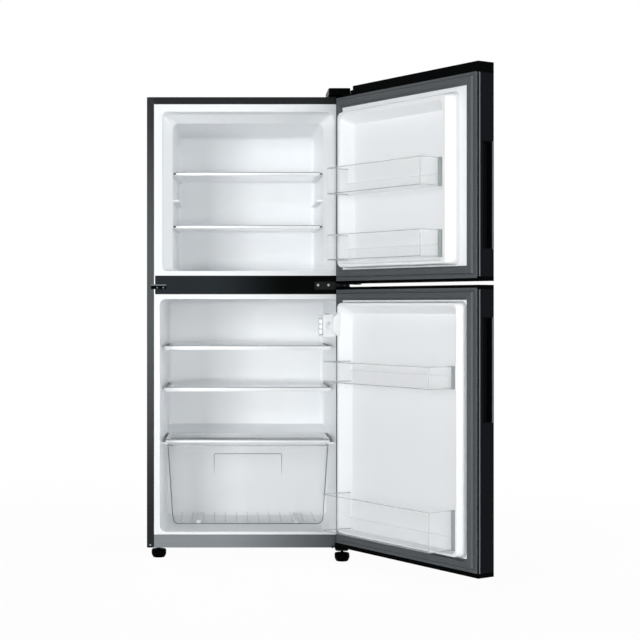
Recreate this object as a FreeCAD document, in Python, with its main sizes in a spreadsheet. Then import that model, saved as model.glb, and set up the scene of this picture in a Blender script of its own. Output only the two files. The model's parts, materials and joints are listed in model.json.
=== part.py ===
import FreeCAD, Part
import math
import os
import Sketcher

# Top freezer refrigerator: a freezer above a fresh-food compartment, each with its own door hinged on the
# right, both doors standing open. X runs to the right as seen from the front, Y from the front to the back
# and Z up. The origin is the centre of the front left foot, on the floor. Lengths are in millimetres.
#
# Cabinet pieces are drawn from the middle of the case (X), the front plane of the case (Y) and the floor (Z).
# Door pieces are drawn in the closed position about their hinge axis: the free edge lies towards -X and the
# inside of the door towards +Y. Each node's placement then carries it to where it belongs.

SIZES = {
    # case
    "case_width": 600, "case_low": 30, "case_top": 1361.7, "case_depth": 540, "sheet": 1.2,
    "face_strip": 21, "strip_corner": 2.5, "foam_gap": 0.3, "seat_gap": 0.2,
    "bay_depth": 164, "bay_roof": 300, "back_space": 7, "foam_front": 16,
    # freezer compartment
    "freezer_sill": 13.3, "freezer_roof": 43.2, "freezer_wall": 45.3,
    "freezer_inner_wall": 72.3, "freezer_inner_roof": 65.7, "freezer_back_side": 78,
    "freezer_back_roof": 70.7, "freezer_lip_draft": 2, "freezer_back_wall": 120, "freezer_lip": 45,
    "freezer_step": 100, "freezer_corner": 14, "freezer_back_corner": 18, "freezer_back_round": 12,
    # fresh-food compartment
    "fridge_sill": 8.3, "fridge_roof": 14, "fridge_wall": 38, "fridge_back_side": 48,
    "fridge_back_wall": 110, "fridge_corner": 18, "fridge_back_round": 14, "hump_wall": 35,
    "hump_cover": 40, "hump_rise": 22, "liner_wall": 2, "evaporator_space": 8,
    # strips across the front
    "mullion_low": 779, "mullion_height": 55, "rail_top": 68.7, "channel_depth": 9,
    # shelves
    "freezer_high_shelf_up": 302.3, "freezer_low_shelf_up": 142, "freezer_spare_ledge_up": 223.7,
    "fridge_high_shelf_up": 284.7, "fridge_low_shelf_up": 159.1, "shelf_front": 100, "glass": 4,
    "freezer_glass_gap": 9.7, "fridge_glass_gap": 14, "freezer_shelf_back_gap": 28,
    "fridge_shelf_back_gap": 32, "freezer_trim_gap": 2.7, "fridge_trim_gap": 10,
    "freezer_trim_height": 10.5, "fridge_trim_height": 13.5, "trim_depth": 12, "trim_round": 1.2,
    "rear_trim": 9, "ledge_height": 6, "ledge_bite": 9, "ledge_front": 116, "shelf_fit": 0.3,
    # crisper
    "cover_side_gap": 12, "cover_back_gap": 2, "cover_frame": 12, "cover_frame_height": 9,
    "drawer_front": 103, "drawer_back_gap": 7, "drawer_up": 9, "drawer_top_gap": 6.5,
    "drawer_top_side_gap": 20.5, "drawer_low_side_gap": 36, "drawer_wall": 2.5, "drawer_corner": 20,
    "drawer_rim": 4, "drawer_rim_height": 5, "pull_half": 102, "pull_drop": 27.5, "pull_height": 66,
    "pull_depth": 13, "runner_half": 150, "runner_width": 12, "runner_front": 170,
    # doors
    "door_gap": 9.7, "pin_depth": 22.5, "pin_inset": 15.8, "door_thick": 57.6, "door_open": 123.4,
    "door_rise": 18.3, "fridge_door_low": 38.2, "split_up": 25.7, "between_doors": 10,
    "skin": 1, "skin_return": 4.5, "door_corner": 5, "small_cap": 12, "top_cap": 28.6,
    # gaskets
    "gasket_thick": 9.2, "gasket_base": 4, "gasket_outset": 7, "gasket_hinge_outset": 4,
    "gasket_width": 29, "gasket_free_width": 34.9, "gasket_hinge_edge": 15.5, "gasket_corner": 5,
    "gasket_inner_corner": 3, "bulb_outer_step": 7, "bulb_inner_step": 4,
    # raised frames on the door liners
    "freezer_dam_rise": 37.5, "freezer_dam_hinge_edge": 34, "freezer_dam_slope": 4,
    "freezer_dam_free_slope": 14, "freezer_dam_crest": 12, "freezer_dam_low_crest": 8,
    "freezer_dam_free_inset": 70.2, "freezer_dam_up": 42.8, "freezer_dam_drop": 70,
    "freezer_dam_top_slope": 9, "freezer_flange_up": 40.3, "freezer_flange_drop": 58,
    "fridge_dam_rise": 33, "fridge_dam_hinge_edge": 24, "fridge_dam_slope": 7,
    "fridge_dam_free_slope": 3, "fridge_dam_crest": 8, "fridge_dam_low_crest": 6,
    "fridge_dam_free_inset": 42.2, "fridge_dam_up": 46.8, "fridge_dam_drop": 42.7,
    "fridge_flange_up": 44.8, "fridge_flange_drop": 39.1,
    "dam_inner_slope": 22, "dam_free_inner_slope": 16, "dam_low_slope": 4, "dam_well_low_slope": 3,
    "dam_corner": 16, "dam_round": 2.4,
    "nub_height": 72, "nub_drop": 71.7, "nub_rise": 21, "nub_bevel": 16, "nub_inward": 4, "nub_edge": 0.5,
    "nub_taper": 1.7,
    # grips
    "grip_depth": 17, "grip_front": 8.7, "grip_width": 32, "grip_wall": 1.5,
    "freezer_grip_up": 84.3, "freezer_grip_length": 279, "fridge_grip_length": 273,
    "fridge_grip_drop": 85.7,
    # door bins
    "bin_wall": 2.5, "bin_back_height": 34, "bin_corner": 7, "bin_lug_out": 3, "bin_lug_bite": 0.5,
    "bin_lug_depth": 14,
    "freezer_bin_root": 43, "freezer_bin_front": 117, "freezer_bin_free_inset": 118.2,
    "freezer_bin_hinge": 60, "freezer_bin_hinge_root": 66, "freezer_high_bin_up": 252.3,
    "freezer_high_bin_height": 77, "freezer_low_bin_up": 64.3, "freezer_low_bin_height": 74,
    "fridge_bin_root": 36, "fridge_bin_front": 126, "fridge_bin_free_inset": 74.2,
    "fridge_bin_hinge": 50, "fridge_bin_hinge_root": 68, "fridge_high_bin_up": 487.8,
    "fridge_high_bin_height": 61, "fridge_low_bin_up": 63.8, "fridge_low_bin_height": 107,
    # hinges
    "pin": 4, "pin_fit": 0.06, "pin_bite": 8, "pin_end_gap": 1.5, "arm": 4, "arm_half": 12,
    "arm_corner_clear": 40, "hinge_plate": 2, "top_plate": 3, "top_plate_back": 70,
    "notch_depth": 22, "notch_width": 63, "notch_front_wall": 4,
    "cover_left_of_pin": 50.2, "cover_right_of_pin": 12, "cover_front_of_pin": 18, "cover_rear": 80,
    "cover_height": 19.3, "cover_wall": 1.8, "cover_corner": 9, "cover_play": 2,
    "middle_plate_left_of_pin": 88.2, "middle_plate_up": 14.2, "middle_plate_height": 22.6,
    "screw_head": 3.6, "screw_head_height": 1.6, "screw_hole": 2.3,
    "first_screw_in": 10, "second_screw_in": 41, "third_screw_in": 64, "screw_up": 12.8,
    "bracket_left_of_pin": 30.5, "bracket_right_of_pin": 6.8, "bracket_front": 62, "bracket_drop": 7.7,
    "bracket_height": 14,
    "left_cover_inset": 12, "left_cover_length": 45, "left_cover_up": 15, "left_cover_height": 14,
    "left_cover_lip": 6, "left_screw_inset": 18.5, "right_screw_inset": 8.5, "left_screw_up": 4.6,
    "stop_thick": 2, "stop_half": 12, "stop_length": 62, "stop_tail": 10,
    # feet and rollers
    "foot_side": 34.6, "foot_front": 20, "right_foot_side": 27.2, "right_foot_front": 48,
    "foot_radius": 21.8, "foot_sole": 16.8, "foot_round": 5, "foot_waist": 11, "foot_bevel": 2,
    "foot_shoulder": 21, "foot_feather": 1.5, "foot_collar": 8, "foot_height": 25, "stud": 4,
    "stud_top": 35, "stud_fit": 0.06, "boss": 9, "boss_height": 14, "roller": 14, "roller_bevel": 1,
    "roller_half_width": 9, "roller_inset": 45, "roller_from_back": 60, "axle": 3, "axle_fit": 0.06,
    "lug": 2, "lug_gap": 1, "lug_half": 9, "lug_low": 8,
    # control box
    "box_front": 70, "box_depth": 120, "box_bulge": 37, "box_back_bulge": 42, "box_height": 67.5,
    "box_drop": 46, "box_wall_gap": 0.4, "box_corner": 5,
    "knob": 13, "knob_thick": 6, "knob_in": 18, "knob_up": 33, "knob_stem": 3, "knob_fit": 0.06,
    "knob_stem_length": 8, "mark_half": 1, "mark_rise": 0.8, "mark_inner": 3, "mark_edge": 2,
    "lens_margin_front": 14, "lens_margin_back": 14, "lens_margin_low": 6, "lens_margin_top": 14,
    "lens_thick": 1.2,
    # cooling system
    "plate_height": 2, "shell": 68, "shell_low": 50, "shell_height": 132, "shell_x": -60,
    "shell_clear": 12.8, "shell_round": 26, "foot_plate": 3, "foot_plate_x": 84, "foot_plate_y": 52,
    "grommet": 9, "grommet_inset": 11, "tray_height": 30, "tray_wall": 2, "tray_x": 88, "tray_y": 58,
    "terminal_width": 36, "terminal_depth": 50, "terminal_low": 90, "terminal_height": 50,
    "terminal_bite": 4, "inlet": 9, "inlet_edge": 4, "cord_room": 9, "cord_edge": 6, "inlet_hole": 5,
    "inlet_length": 10, "inlet_depth": 10, "pipe": 4, "pipe_gap": 0.5, "pipe_out": 60, "pipe_side": 128,
    "pipe_drop": 30, "cover_plate": 1, "cover_plate_inset": 32, "cover_plate_gap": 2, "slot_width": 60,
    "slot_height": 8, "slot_pitch_x": 80, "slot_pitch_z": 22, "slot_margin": 20, "coil": 2.5,
    "coil_inset": 65, "coil_pitch": 96, "coil_up": 40, "coil_runs": 10, "evaporator_sheet": 1.5,
    "evaporator_inset": 32, "evaporator_tube": 2.4, "evaporator_pitch": 45, "evaporator_runs": 6,
    "evaporator_margin": 60, "evaporator_border": 20,
}

PAST = 1      # a cutting block runs this far past the face that it opens
WIDE = 10     # a shaping block runs this far past the walls that it shapes
TOUCH = 0.01  # edges closer than this to a place lie on it

doc = FreeCAD.newDocument("TopFreezerRefrigerator")
sheet = doc.addObject("Spreadsheet::Sheet", "Dims")
for row, (alias, number) in enumerate(SIZES.items(), start=1):
    sheet.set("A%d" % row, alias)
    sheet.set("B%d" % row, str(number))
    sheet.setAlias("B%d" % row, alias)
doc.recompute()


class Size:
    """A length that keeps the sheet expression it comes from beside its present value."""

    def __init__(self, text, number):
        self.text = text
        self.number = float(number)

    def __add__(self, other):
        other = length(other)
        return Size("(%s + %s)" % (self.text, other.text), self.number + other.number)

    def __sub__(self, other):
        other = length(other)
        return Size("(%s - %s)" % (self.text, other.text), self.number - other.number)

    def __mul__(self, other):
        other = length(other)
        return Size("(%s * %s)" % (self.text, other.text), self.number * other.number)

    def __truediv__(self, other):
        other = length(other)
        return Size("(%s / %s)" % (self.text, other.text), self.number / other.number)

    def __radd__(self, other):
        return length(other) + self

    def __rsub__(self, other):
        return length(other) - self

    def __rmul__(self, other):
        return self * other

    def __neg__(self):
        return Size("(0 - %s)" % self.text, -self.number)


def length(thing):
    """A Size from a Size or a plain number."""
    return thing if isinstance(thing, Size) else Size("(%s)" % float(thing), thing)


class Dims:
    """The sheet's cells by name, each as a Size."""

    def __getattr__(self, alias):
        return Size("Dims." + alias, sheet.get(alias))


d = Dims()
HALF = d.case_width / 2
PIN_X = HALF - d.pin_inset
PIN_Y = -(d.door_gap + d.pin_depth)
ORIGIN_X = HALF - d.foot_side
ORIGIN_Y = -d.foot_front
MULLION_TOP = d.mullion_low + d.mullion_height
FREEZER_FLOOR = MULLION_TOP + d.freezer_sill
FREEZER_CEILING = d.case_top - d.freezer_roof
FREEZER_INNER_CEILING = d.case_top - d.freezer_inner_roof
FREEZER_BACK_CEILING = d.case_top - d.freezer_back_roof
FREEZER_HALF = HALF - d.freezer_wall
FREEZER_INNER_HALF = HALF - d.freezer_inner_wall
FREEZER_BACK_HALF = HALF - d.freezer_back_side
FREEZER_DEPTH = d.case_depth - d.freezer_back_wall
FRIDGE_FLOOR = d.rail_top + d.fridge_sill
FRIDGE_CEILING = d.mullion_low - d.fridge_roof
FRIDGE_HALF = HALF - d.fridge_wall
FRIDGE_BACK_HALF = HALF - d.fridge_back_side
FRIDGE_DEPTH = d.case_depth - d.fridge_back_wall
BAY_FRONT = d.case_depth - d.bay_depth
HUMP_FRONT = BAY_FRONT - d.hump_wall
HUMP_TOP = d.bay_roof + d.hump_cover
CARRIERS = {
    "cabinet": (ORIGIN_X, ORIGIN_Y, None),
    "door": (ORIGIN_X + PIN_X, ORIGIN_Y + PIN_Y, d.door_open),
}
AXES = {"X": FreeCAD.Vector(1, 0, 0), "Y": FreeCAD.Vector(0, 1, 0), "Z": FreeCAD.Vector(0, 0, 1)}
nodes = []


# ---------------------------------------------------------------- drawing helpers

def bind(piece, sizes):
    """Tie properties of a document object to sizes."""
    for prop, size in sizes.items():
        piece.setExpression(prop, length(size).text)


def spot(piece, x, y, z):
    """Tie the piece's position to sizes."""
    bind(piece, {"Placement.Base.x": x, "Placement.Base.y": y, "Placement.Base.z": z})


def both(half):
    """The span from -half to +half."""
    return (-half, length(half))


def block(name, x, y, z):
    """A box between pairs of planes."""
    box = doc.addObject("Part::Box", name)
    low = [length(span[0]) for span in (x, y, z)]
    far = [length(span[1]) for span in (x, y, z)]
    bind(box, {"Length": far[0] - low[0], "Width": far[1] - low[1], "Height": far[2] - low[2]})
    spot(box, *low)
    return box


def rod(name, axis, centre, radius, span):
    """A cylinder along an axis; centre gives its two other coordinates in X, Y, Z order."""
    cylinder = doc.addObject("Part::Cylinder", name)
    turns = {"X": (AXES["Y"], 90), "Y": (AXES["X"], -90), "Z": (AXES["Z"], 0)}
    cylinder.Placement = FreeCAD.Placement(FreeCAD.Vector(), FreeCAD.Rotation(*turns[axis]))
    low, far = length(span[0]), length(span[1])
    bind(cylinder, {"Radius": radius, "Height": far - low})
    place = list(centre)
    place.insert("XYZ".index(axis), low)
    spot(cylinder, *place)
    return cylinder


def wedge(name, y, near, far):
    """A block that tapers from front to back; near and far are (left, right, low, high)."""
    piece = doc.addObject("Part::Wedge", name)
    bind(piece, {"Ymin": y[0], "Ymax": y[1], "Xmin": near[0], "Xmax": near[1], "Zmin": near[2],
                 "Zmax": near[3], "X2min": far[0], "X2max": far[1], "Z2min": far[2], "Z2max": far[3]})
    return piece


def joined(name, *pieces):
    """The pieces fused into one."""
    fuse = doc.addObject("Part::MultiFuse", name)
    fuse.Shapes = list(pieces)
    fuse.Refine = True
    return fuse


def without(name, base, *tools):
    """The base with every tool cut from it."""
    cut = doc.addObject("Part::Cut", name)
    cut.Base = base
    cut.Tool = tools[0] if len(tools) == 1 else joined(name + "Tools", *tools)
    return cut


def rounded(name, base, radius, wanted):
    """The base with the wanted edges rounded."""
    doc.recompute()
    fillet = doc.addObject("Part::Fillet", name)
    fillet.Base = base
    amount = length(radius).number
    fillet.Edges = [(number, amount, amount) for number, edge in enumerate(base.Shape.Edges, start=1)
                    if wanted(edge)]
    return fillet


def runs(axis):
    """A test for straight edges along an axis."""
    def test(edge):
        ends = [vertex.Point for vertex in edge.Vertexes]
        if len(ends) != 2:
            return False
        way = ends[1] - ends[0]
        return way.Length > 0 and abs(way.normalize().dot(AXES[axis])) > 0.999
    return test


def lying(axis, across, place):
    """A test for straight edges along one axis that lie at a place on another."""
    straight = runs(axis)
    return lambda edge: straight(edge) and abs(getattr(edge.BoundBox, across + "Min") -
                                               length(place).number) < TOUCH


def level(axis, place):
    """A test for edges that lie in one plane square to an axis."""
    def test(edge):
        box = edge.BoundBox
        flat = getattr(box, axis + "Length") < TOUCH
        return flat and abs(getattr(box, axis + "Min") - length(place).number) < TOUCH
    return test


def fix_point(sketch, index, position, x, y):
    """Hold one point of a sketch's geometry at the given sizes."""
    for kind, size in (("DistanceX", length(x)), ("DistanceY", length(y))):
        row = sketch.addConstraint(Sketcher.Constraint(kind, -1, 1, index, position, size.number))
        sketch.setExpression("Constraints[%d]" % row, size.text)


PLANES = {
    "XZ": FreeCAD.Rotation(FreeCAD.Vector(1, 0, 0), 90),
    "XY": FreeCAD.Rotation(),
    "YZ": FreeCAD.Rotation(FreeCAD.Vector(1, 1, 1), 120),
}
NORMAL = {"XZ": "y", "XY": "z", "YZ": "x"}


def rounded_outline(name, plane, at, across, up, radius):
    """A sketched rectangle with round corners, in a plane square to one axis."""
    sketch = doc.addObject("Sketcher::SketchObject", name)
    sketch.Placement = FreeCAD.Placement(FreeCAD.Vector(), PLANES[plane])
    bind(sketch, {"Placement.Base." + NORMAL[plane]: at})
    left, right, low, high, r = (length(size) for size in (*across, *up, radius))
    corners = [(right - r, low + r, -90), (right - r, high - r, 0), (left + r, high - r, 90),
               (left + r, low + r, 180)]
    ends = [(left + r, low, right - r, low), (right, low + r, right, high - r),
            (right - r, high, left + r, high), (left, high - r, left, low + r)]
    for x0, y0, x1, y1 in ends:
        sketch.addGeometry(Part.LineSegment(FreeCAD.Vector(x0.number, y0.number, 0),
                                            FreeCAD.Vector(x1.number, y1.number, 0)), False)
    for x, y, start in corners:
        circle = Part.Circle(FreeCAD.Vector(x.number, y.number, 0), AXES["Z"], r.number)
        first = math.radians(start)
        sketch.addGeometry(Part.ArcOfCircle(circle, first, first + math.pi / 2), False)
    for index, (x0, y0, x1, y1) in enumerate(ends):
        fix_point(sketch, index, 1, x0, y0)
        fix_point(sketch, index, 2, x1, y1)
    for arc in range(4):
        sketch.addConstraint(Sketcher.Constraint("Coincident", 4 + arc, 1, arc, 2))
        sketch.addConstraint(Sketcher.Constraint("Coincident", 4 + arc, 2, (arc + 1) % 4, 1))
        row = sketch.addConstraint(Sketcher.Constraint("Radius", 4 + arc, r.number))
        sketch.setExpression("Constraints[%d]" % row, r.text)
    return sketch


def draw_closed(sketch, points):
    """Straight lines through the given points and back to the first, each point held by the sheet."""
    points = [(length(x), length(y)) for x, y in points]
    for (x0, y0), (x1, y1) in zip(points, points[1:] + points[:1]):
        sketch.addGeometry(Part.LineSegment(FreeCAD.Vector(x0.number, y0.number, 0),
                                            FreeCAD.Vector(x1.number, y1.number, 0)), False)
    for index, (x, y) in enumerate(points):
        fix_point(sketch, index, 1, x, y)
        sketch.addConstraint(Sketcher.Constraint("Coincident", index - 1 if index else len(points) - 1, 2,
                                                 index, 1))


def outline(name, plane, at, points):
    """A sketched closed outline through the given points."""
    sketch = doc.addObject("Sketcher::SketchObject", name)
    sketch.Placement = FreeCAD.Placement(FreeCAD.Vector(), PLANES[plane])
    bind(sketch, {"Placement.Base." + NORMAL[plane]: at})
    draw_closed(sketch, points)
    return sketch


def drawn_out(name, sketch, axis, distance):
    """A sketched outline drawn out along an axis."""
    solid = doc.addObject("Part::Extrusion", name)
    solid.Base = sketch
    solid.DirMode = "Custom"
    solid.Dir = AXES[axis]
    solid.Solid = True
    bind(solid, {"LengthFwd": distance})
    return solid


def funnel(name, plane, stations):
    """A solid through round-cornered rectangles: each station is (place, across, up, radius)."""
    loft = doc.addObject("Part::Loft", name)
    loft.Sections = [rounded_outline("%sSection%d" % (name, index), plane, *station)
                     for index, station in enumerate(stations)]
    loft.Solid = True
    loft.Ruled = True
    return loft


def node(label, carrier, *pieces):
    """One named sub-part, carried by the cabinet or by a door."""
    group = doc.addObject("Part::Compound", "Node_" + label)
    group.Links = list(pieces)
    group.Label = label
    x, y, angle = CARRIERS[carrier]
    if angle is not None:
        # the first angle only fixes the turn's axis: the sheet sets the real one
        group.Placement = FreeCAD.Placement(FreeCAD.Vector(), FreeCAD.Rotation(AXES["Z"], 1))
        bind(group, {"Placement.Rotation.Angle": angle})
    bind(group, {"Placement.Base.x": x, "Placement.Base.y": y})
    nodes.append(group)
    return group


def turned(name, points):
    """A solid turned about Z from a half profile of (radius, height) points."""
    body = doc.addObject("PartDesign::Body", name)
    plane = [feature for feature in body.Origin.OriginFeatures if feature.Role == "XZ_Plane"][0]
    sketch = body.newObject("Sketcher::SketchObject", name + "Profile")
    sketch.AttachmentSupport = (plane, [""])
    sketch.MapMode = "FlatFace"
    draw_closed(sketch, points)
    doc.recompute()
    turn = body.newObject("PartDesign::Revolution", name + "Turn")
    turn.Profile = sketch
    turn.ReferenceAxis = (sketch, ["V_Axis"])
    turn.Angle = 360
    body.Tip = turn
    return body


# ---------------------------------------------------------------- case

INNER_HALF = HALF - d.sheet
SEAT_HALF = HALF - d.face_strip - d.seat_gap
CASE_DEEP = d.case_depth - d.sheet


def outer_case():
    """The painted steel wrap: two sides and a top, folded inwards round the front."""
    wrap = block("CaseOuter", both(HALF), (0, CASE_DEEP), (d.case_low, d.case_top))
    wrap = rounded("CaseRounded", wrap, d.strip_corner, lying("Y", "Z", d.case_top))
    inside = block("CaseInside", both(INNER_HALF), (d.sheet, d.case_depth),
                   (d.case_low - PAST, d.case_top - d.sheet))
    window = block("CaseWindow", both(HALF - d.face_strip), (-PAST, d.sheet + PAST),
                   (d.case_low - PAST, d.case_top - d.face_strip))
    node("outer_case", "cabinet", without("Case", wrap, inside, window))


def back_panel():
    """A flat sheet that closes the back above the compressor bay."""
    sheet_metal = block("BackSheet", both(HALF), (CASE_DEEP + d.seat_gap, d.case_depth + d.seat_gap),
                        (d.bay_roof, d.case_top))
    node("back_panel", "cabinet", sheet_metal)


def base_pan():
    """The bottom sheet, stepped up over the compressor bay, with the left foot's threaded boss."""
    front, low, roof = d.foam_front, d.case_low, d.bay_roof
    corner = BAY_FRONT - d.sheet
    profile = outline("PanProfile", "YZ", -(INNER_HALF - d.seat_gap), [
        (front, low), (BAY_FRONT, low), (BAY_FRONT, roof), (CASE_DEEP, roof),
        (CASE_DEEP, roof + d.sheet), (corner, roof + d.sheet), (corner, low + d.sheet),
        (front, low + d.sheet)])
    pan = drawn_out("Pan", profile, "X", 2 * (INNER_HALF - d.seat_gap))
    centre = (-ORIGIN_X, d.foot_front)
    boss = rod("PanBoss", "Z", centre, d.boss, (low, low + d.boss_height))
    hole = rod("PanHole", "Z", centre, d.stud + d.stud_fit, (low - PAST, low + d.boss_height + PAST))
    node("base_pan", "cabinet", without("PanDrilled", joined("PanWithBoss", pan, boss), hole))


def front_channel(label, low, top):
    """A folded strip across the front between the side flanges."""
    strip = block(label + "Outer", both(SEAT_HALF), (0, d.channel_depth),
                  (low + d.seat_gap, top - d.seat_gap))
    inside = block(label + "Inside", both(SEAT_HALF + PAST), (d.sheet, d.channel_depth + PAST),
                   (low + d.seat_gap + d.sheet, top - d.seat_gap - d.sheet))
    node(label, "cabinet", without(label + "Channel", strip, inside))


# ---------------------------------------------------------------- compartments

def freezer_form(name, grow, front, back_room):
    """The freezer compartment's shape, grown on every side; back_room is its extra depth."""
    low = FREEZER_FLOOR - grow
    mouth_half, lip_half = FREEZER_HALF + grow, FREEZER_HALF - d.freezer_lip_draft + grow
    inner_half, back_half = FREEZER_INNER_HALF + grow, FREEZER_BACK_HALF + grow
    mouth_top = FREEZER_CEILING + grow
    return funnel(name, "XZ", [
        (front, both(mouth_half), (low, mouth_top), d.freezer_corner + grow),
        (d.freezer_lip, both(lip_half), (low, mouth_top - d.freezer_lip_draft), d.freezer_corner + grow),
        (d.freezer_step, both(inner_half), (low, FREEZER_INNER_CEILING + grow),
         d.freezer_back_corner + grow),
        (FREEZER_DEPTH + back_room, both(back_half), (low, FREEZER_BACK_CEILING + grow),
         d.freezer_back_corner + grow)])


def fridge_form(name, grow, front, back_room):
    """The fresh-food compartment's shape, grown on every side, without the hump over the compressor."""
    up = (FRIDGE_FLOOR - grow, FRIDGE_CEILING + grow)
    return funnel(name, "XZ", [
        (front, both(FRIDGE_HALF + grow), up, d.fridge_corner + grow),
        (FRIDGE_DEPTH + back_room, both(FRIDGE_BACK_HALF + grow), up, d.fridge_corner + grow)])


def fridge_hump(name, shrink, back_room):
    """The step in the fresh-food floor that clears the compressor bay; its top rises to the back."""
    front = HUMP_FRONT + shrink
    back = FRIDGE_DEPTH + back_room + PAST
    low = FRIDGE_FLOOR - d.liner_wall - WIDE
    half = FRIDGE_HALF + WIDE
    near = (-half, half, low, HUMP_TOP - shrink)
    far = (-half, half, low, HUMP_TOP + d.hump_rise - shrink)
    return wedge(name, (front, back), near, far)


def side_ledges(name, inner, top, back):
    """A pair of ledges moulded on the side walls, top faces level."""
    reach = FRIDGE_HALF + WIDE
    return [block(name + side, (left, right), (d.ledge_front, back), (top - d.ledge_height, top))
            for side, left, right in (("Left", -reach, -inner), ("Right", inner, reach))]


def liner(label, skin, cavity, low, top):
    """A moulded compartment liner with its front flange."""
    flange = block(label + "Flange", both(SEAT_HALF), (d.seat_gap, d.seat_gap + d.liner_wall),
                   (low + d.seat_gap, top - d.seat_gap))
    node(label, "cabinet", without(label + "Shell", joined(label + "Solid", flange, skin), cavity))


def freezer_liner():
    """The white freezer liner: a wide mouth, a funnel and a drafted chamber with three pairs of ledges."""
    back = FREEZER_DEPTH
    wall = d.liner_wall
    cavity = rounded("FreezerCavity", freezer_form("FreezerInside", 0, -PAST, 0), d.freezer_back_round,
                     level("Y", back))
    skin = rounded("FreezerSkin", freezer_form("FreezerOutside", wall, d.seat_gap, wall),
                   d.freezer_back_round + wall, level("Y", back + wall))
    ledges = []
    for name, height in (("High", FREEZER_SHELF_HIGH), ("Spare", FREEZER_SPARE_LEDGE),
                         ("Low", FREEZER_SHELF_LOW)):
        ledges += side_ledges("FreezerLedge" + name, FREEZER_GLASS_HALF - d.ledge_bite,
                              height - d.glass - d.shelf_fit, FREEZER_SHELF_BACK)
    room = without("FreezerRoom", cavity, *ledges)
    liner("freezer_liner", skin, room, MULLION_TOP, d.case_top - d.face_strip)


def fridge_liner():
    """The white fresh-food liner, stepped over the compressor, with shelf ledges and drawer runners."""
    back = FRIDGE_DEPTH
    wall = d.liner_wall
    inside = rounded("FridgeRounded", fridge_form("FridgeInside", 0, -PAST, 0), d.fridge_back_round,
                     level("Y", back))
    room = without("FridgeStepped", inside, fridge_hump("FridgeHump", 0, 0))
    outside = rounded("FridgeSkinRounded", fridge_form("FridgeOutside", wall, d.seat_gap, wall),
                      d.fridge_back_round + wall, level("Y", back + wall))
    skin = without("FridgeSkin", outside, fridge_hump("FridgeSkinHump", wall, wall))
    ledges = []
    for name, height in (("High", FRIDGE_SHELF_HIGH), ("Low", FRIDGE_SHELF_LOW)):
        ledges += side_ledges("FridgeLedge" + name, FRIDGE_GLASS_HALF - d.ledge_bite,
                              height - d.glass - d.shelf_fit, FRIDGE_SHELF_BACK)
    ledges += side_ledges("CoverLedge", COVER_HALF - d.ledge_bite,
                          HUMP_TOP - d.cover_frame_height - d.shelf_fit, HUMP_FRONT + PAST)
    for side in (-1, 1):
        left = side * d.runner_half - d.runner_width / 2
        ledges.append(block("Runner%s" % ("Left" if side < 0 else "Right"), (left, left + d.runner_width),
                            (d.runner_front, HUMP_FRONT + PAST),
                            (FRIDGE_FLOOR - PAST, DRAWER_LOW - d.shelf_fit)))
    liner("fridge_liner", skin, without("FridgeRoom", room, *ledges), d.rail_top, d.mullion_low)


def case_foam():
    """The rigid foam between the case and the two liners."""
    gap = d.foam_gap
    half = INNER_HALF - gap
    low = d.case_low + d.sheet + gap
    body = block("FoamBody", both(half), (d.foam_front + d.seat_gap, CASE_DEEP - d.back_space),
                 (low, d.case_top - d.sheet - gap))
    grow = d.liner_wall + gap
    room = grow + d.evaporator_space
    freezer = freezer_form("FoamFreezer", grow, -PAST, room)
    fridge = without("FoamFridge", fridge_form("FoamFridgeOuter", grow, -PAST, room),
                     fridge_hump("FoamHump", grow, room))
    bay = block("FoamBay", both(HALF), (BAY_FRONT - d.sheet - gap, d.case_depth),
                (low - PAST, d.bay_roof + d.sheet + gap))
    boss = rod("FoamBoss", "Z", (-ORIGIN_X, d.foot_front), d.boss + gap,
               (low - PAST, d.case_low + d.boss_height + gap))
    node("case_foam", "cabinet", without("Foam", body, freezer, fridge, bay, boss))


# ---------------------------------------------------------------- shelves

FREEZER_SHELF_HIGH = FREEZER_FLOOR + d.freezer_high_shelf_up
FREEZER_SHELF_LOW = FREEZER_FLOOR + d.freezer_low_shelf_up
FREEZER_SPARE_LEDGE = FREEZER_FLOOR + d.freezer_spare_ledge_up
FRIDGE_SHELF_HIGH = HUMP_TOP + d.fridge_high_shelf_up
FRIDGE_SHELF_LOW = HUMP_TOP + d.fridge_low_shelf_up
FREEZER_GLASS_HALF = FREEZER_INNER_HALF - d.freezer_glass_gap
FREEZER_TRIM_HALF = FREEZER_INNER_HALF - d.freezer_trim_gap
FRIDGE_GLASS_HALF = FRIDGE_HALF - d.fridge_glass_gap
FRIDGE_TRIM_HALF = FRIDGE_HALF - d.fridge_trim_gap
FREEZER_SHELF_BACK = FREEZER_DEPTH - d.freezer_shelf_back_gap
FRIDGE_SHELF_BACK = FRIDGE_DEPTH - d.fridge_shelf_back_gap
COVER_HALF = FRIDGE_HALF - d.cover_side_gap
COVER_BACK = HUMP_FRONT - d.cover_back_gap
DRAWER_LOW = FRIDGE_FLOOR + d.drawer_up
DRAWER_TOP = HUMP_TOP - d.cover_frame_height - d.drawer_top_gap
DRAWER_BACK = HUMP_FRONT - d.drawer_back_gap
DRAWER_TOP_HALF = FRIDGE_HALF - d.drawer_top_side_gap
DRAWER_LOW_HALF = FRIDGE_HALF - d.drawer_low_side_gap
PULL_TOP = DRAWER_TOP - d.pull_drop


def shelf(label, half_glass, half_trim, trim_height, top, back):
    """A glass shelf with a white front trim and a rear trim."""
    front = d.shelf_front
    pane = block(label + "Pane", both(half_glass), (front + d.trim_depth, back - d.rear_trim),
                 (top - d.glass, top))
    bar = block(label + "Bar", both(half_trim), (front, front + d.trim_depth), (top - trim_height, top))
    bar = rounded(label + "BarRounded", bar, d.trim_round, lying("X", "Y", front))
    rear = block(label + "Rear", both(half_glass), (back - d.rear_trim, back),
                 (top - d.glass, top + d.glass))
    node(label + "_glass", "cabinet", pane)
    node(label + "_trim", "cabinet", bar, rear)


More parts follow.
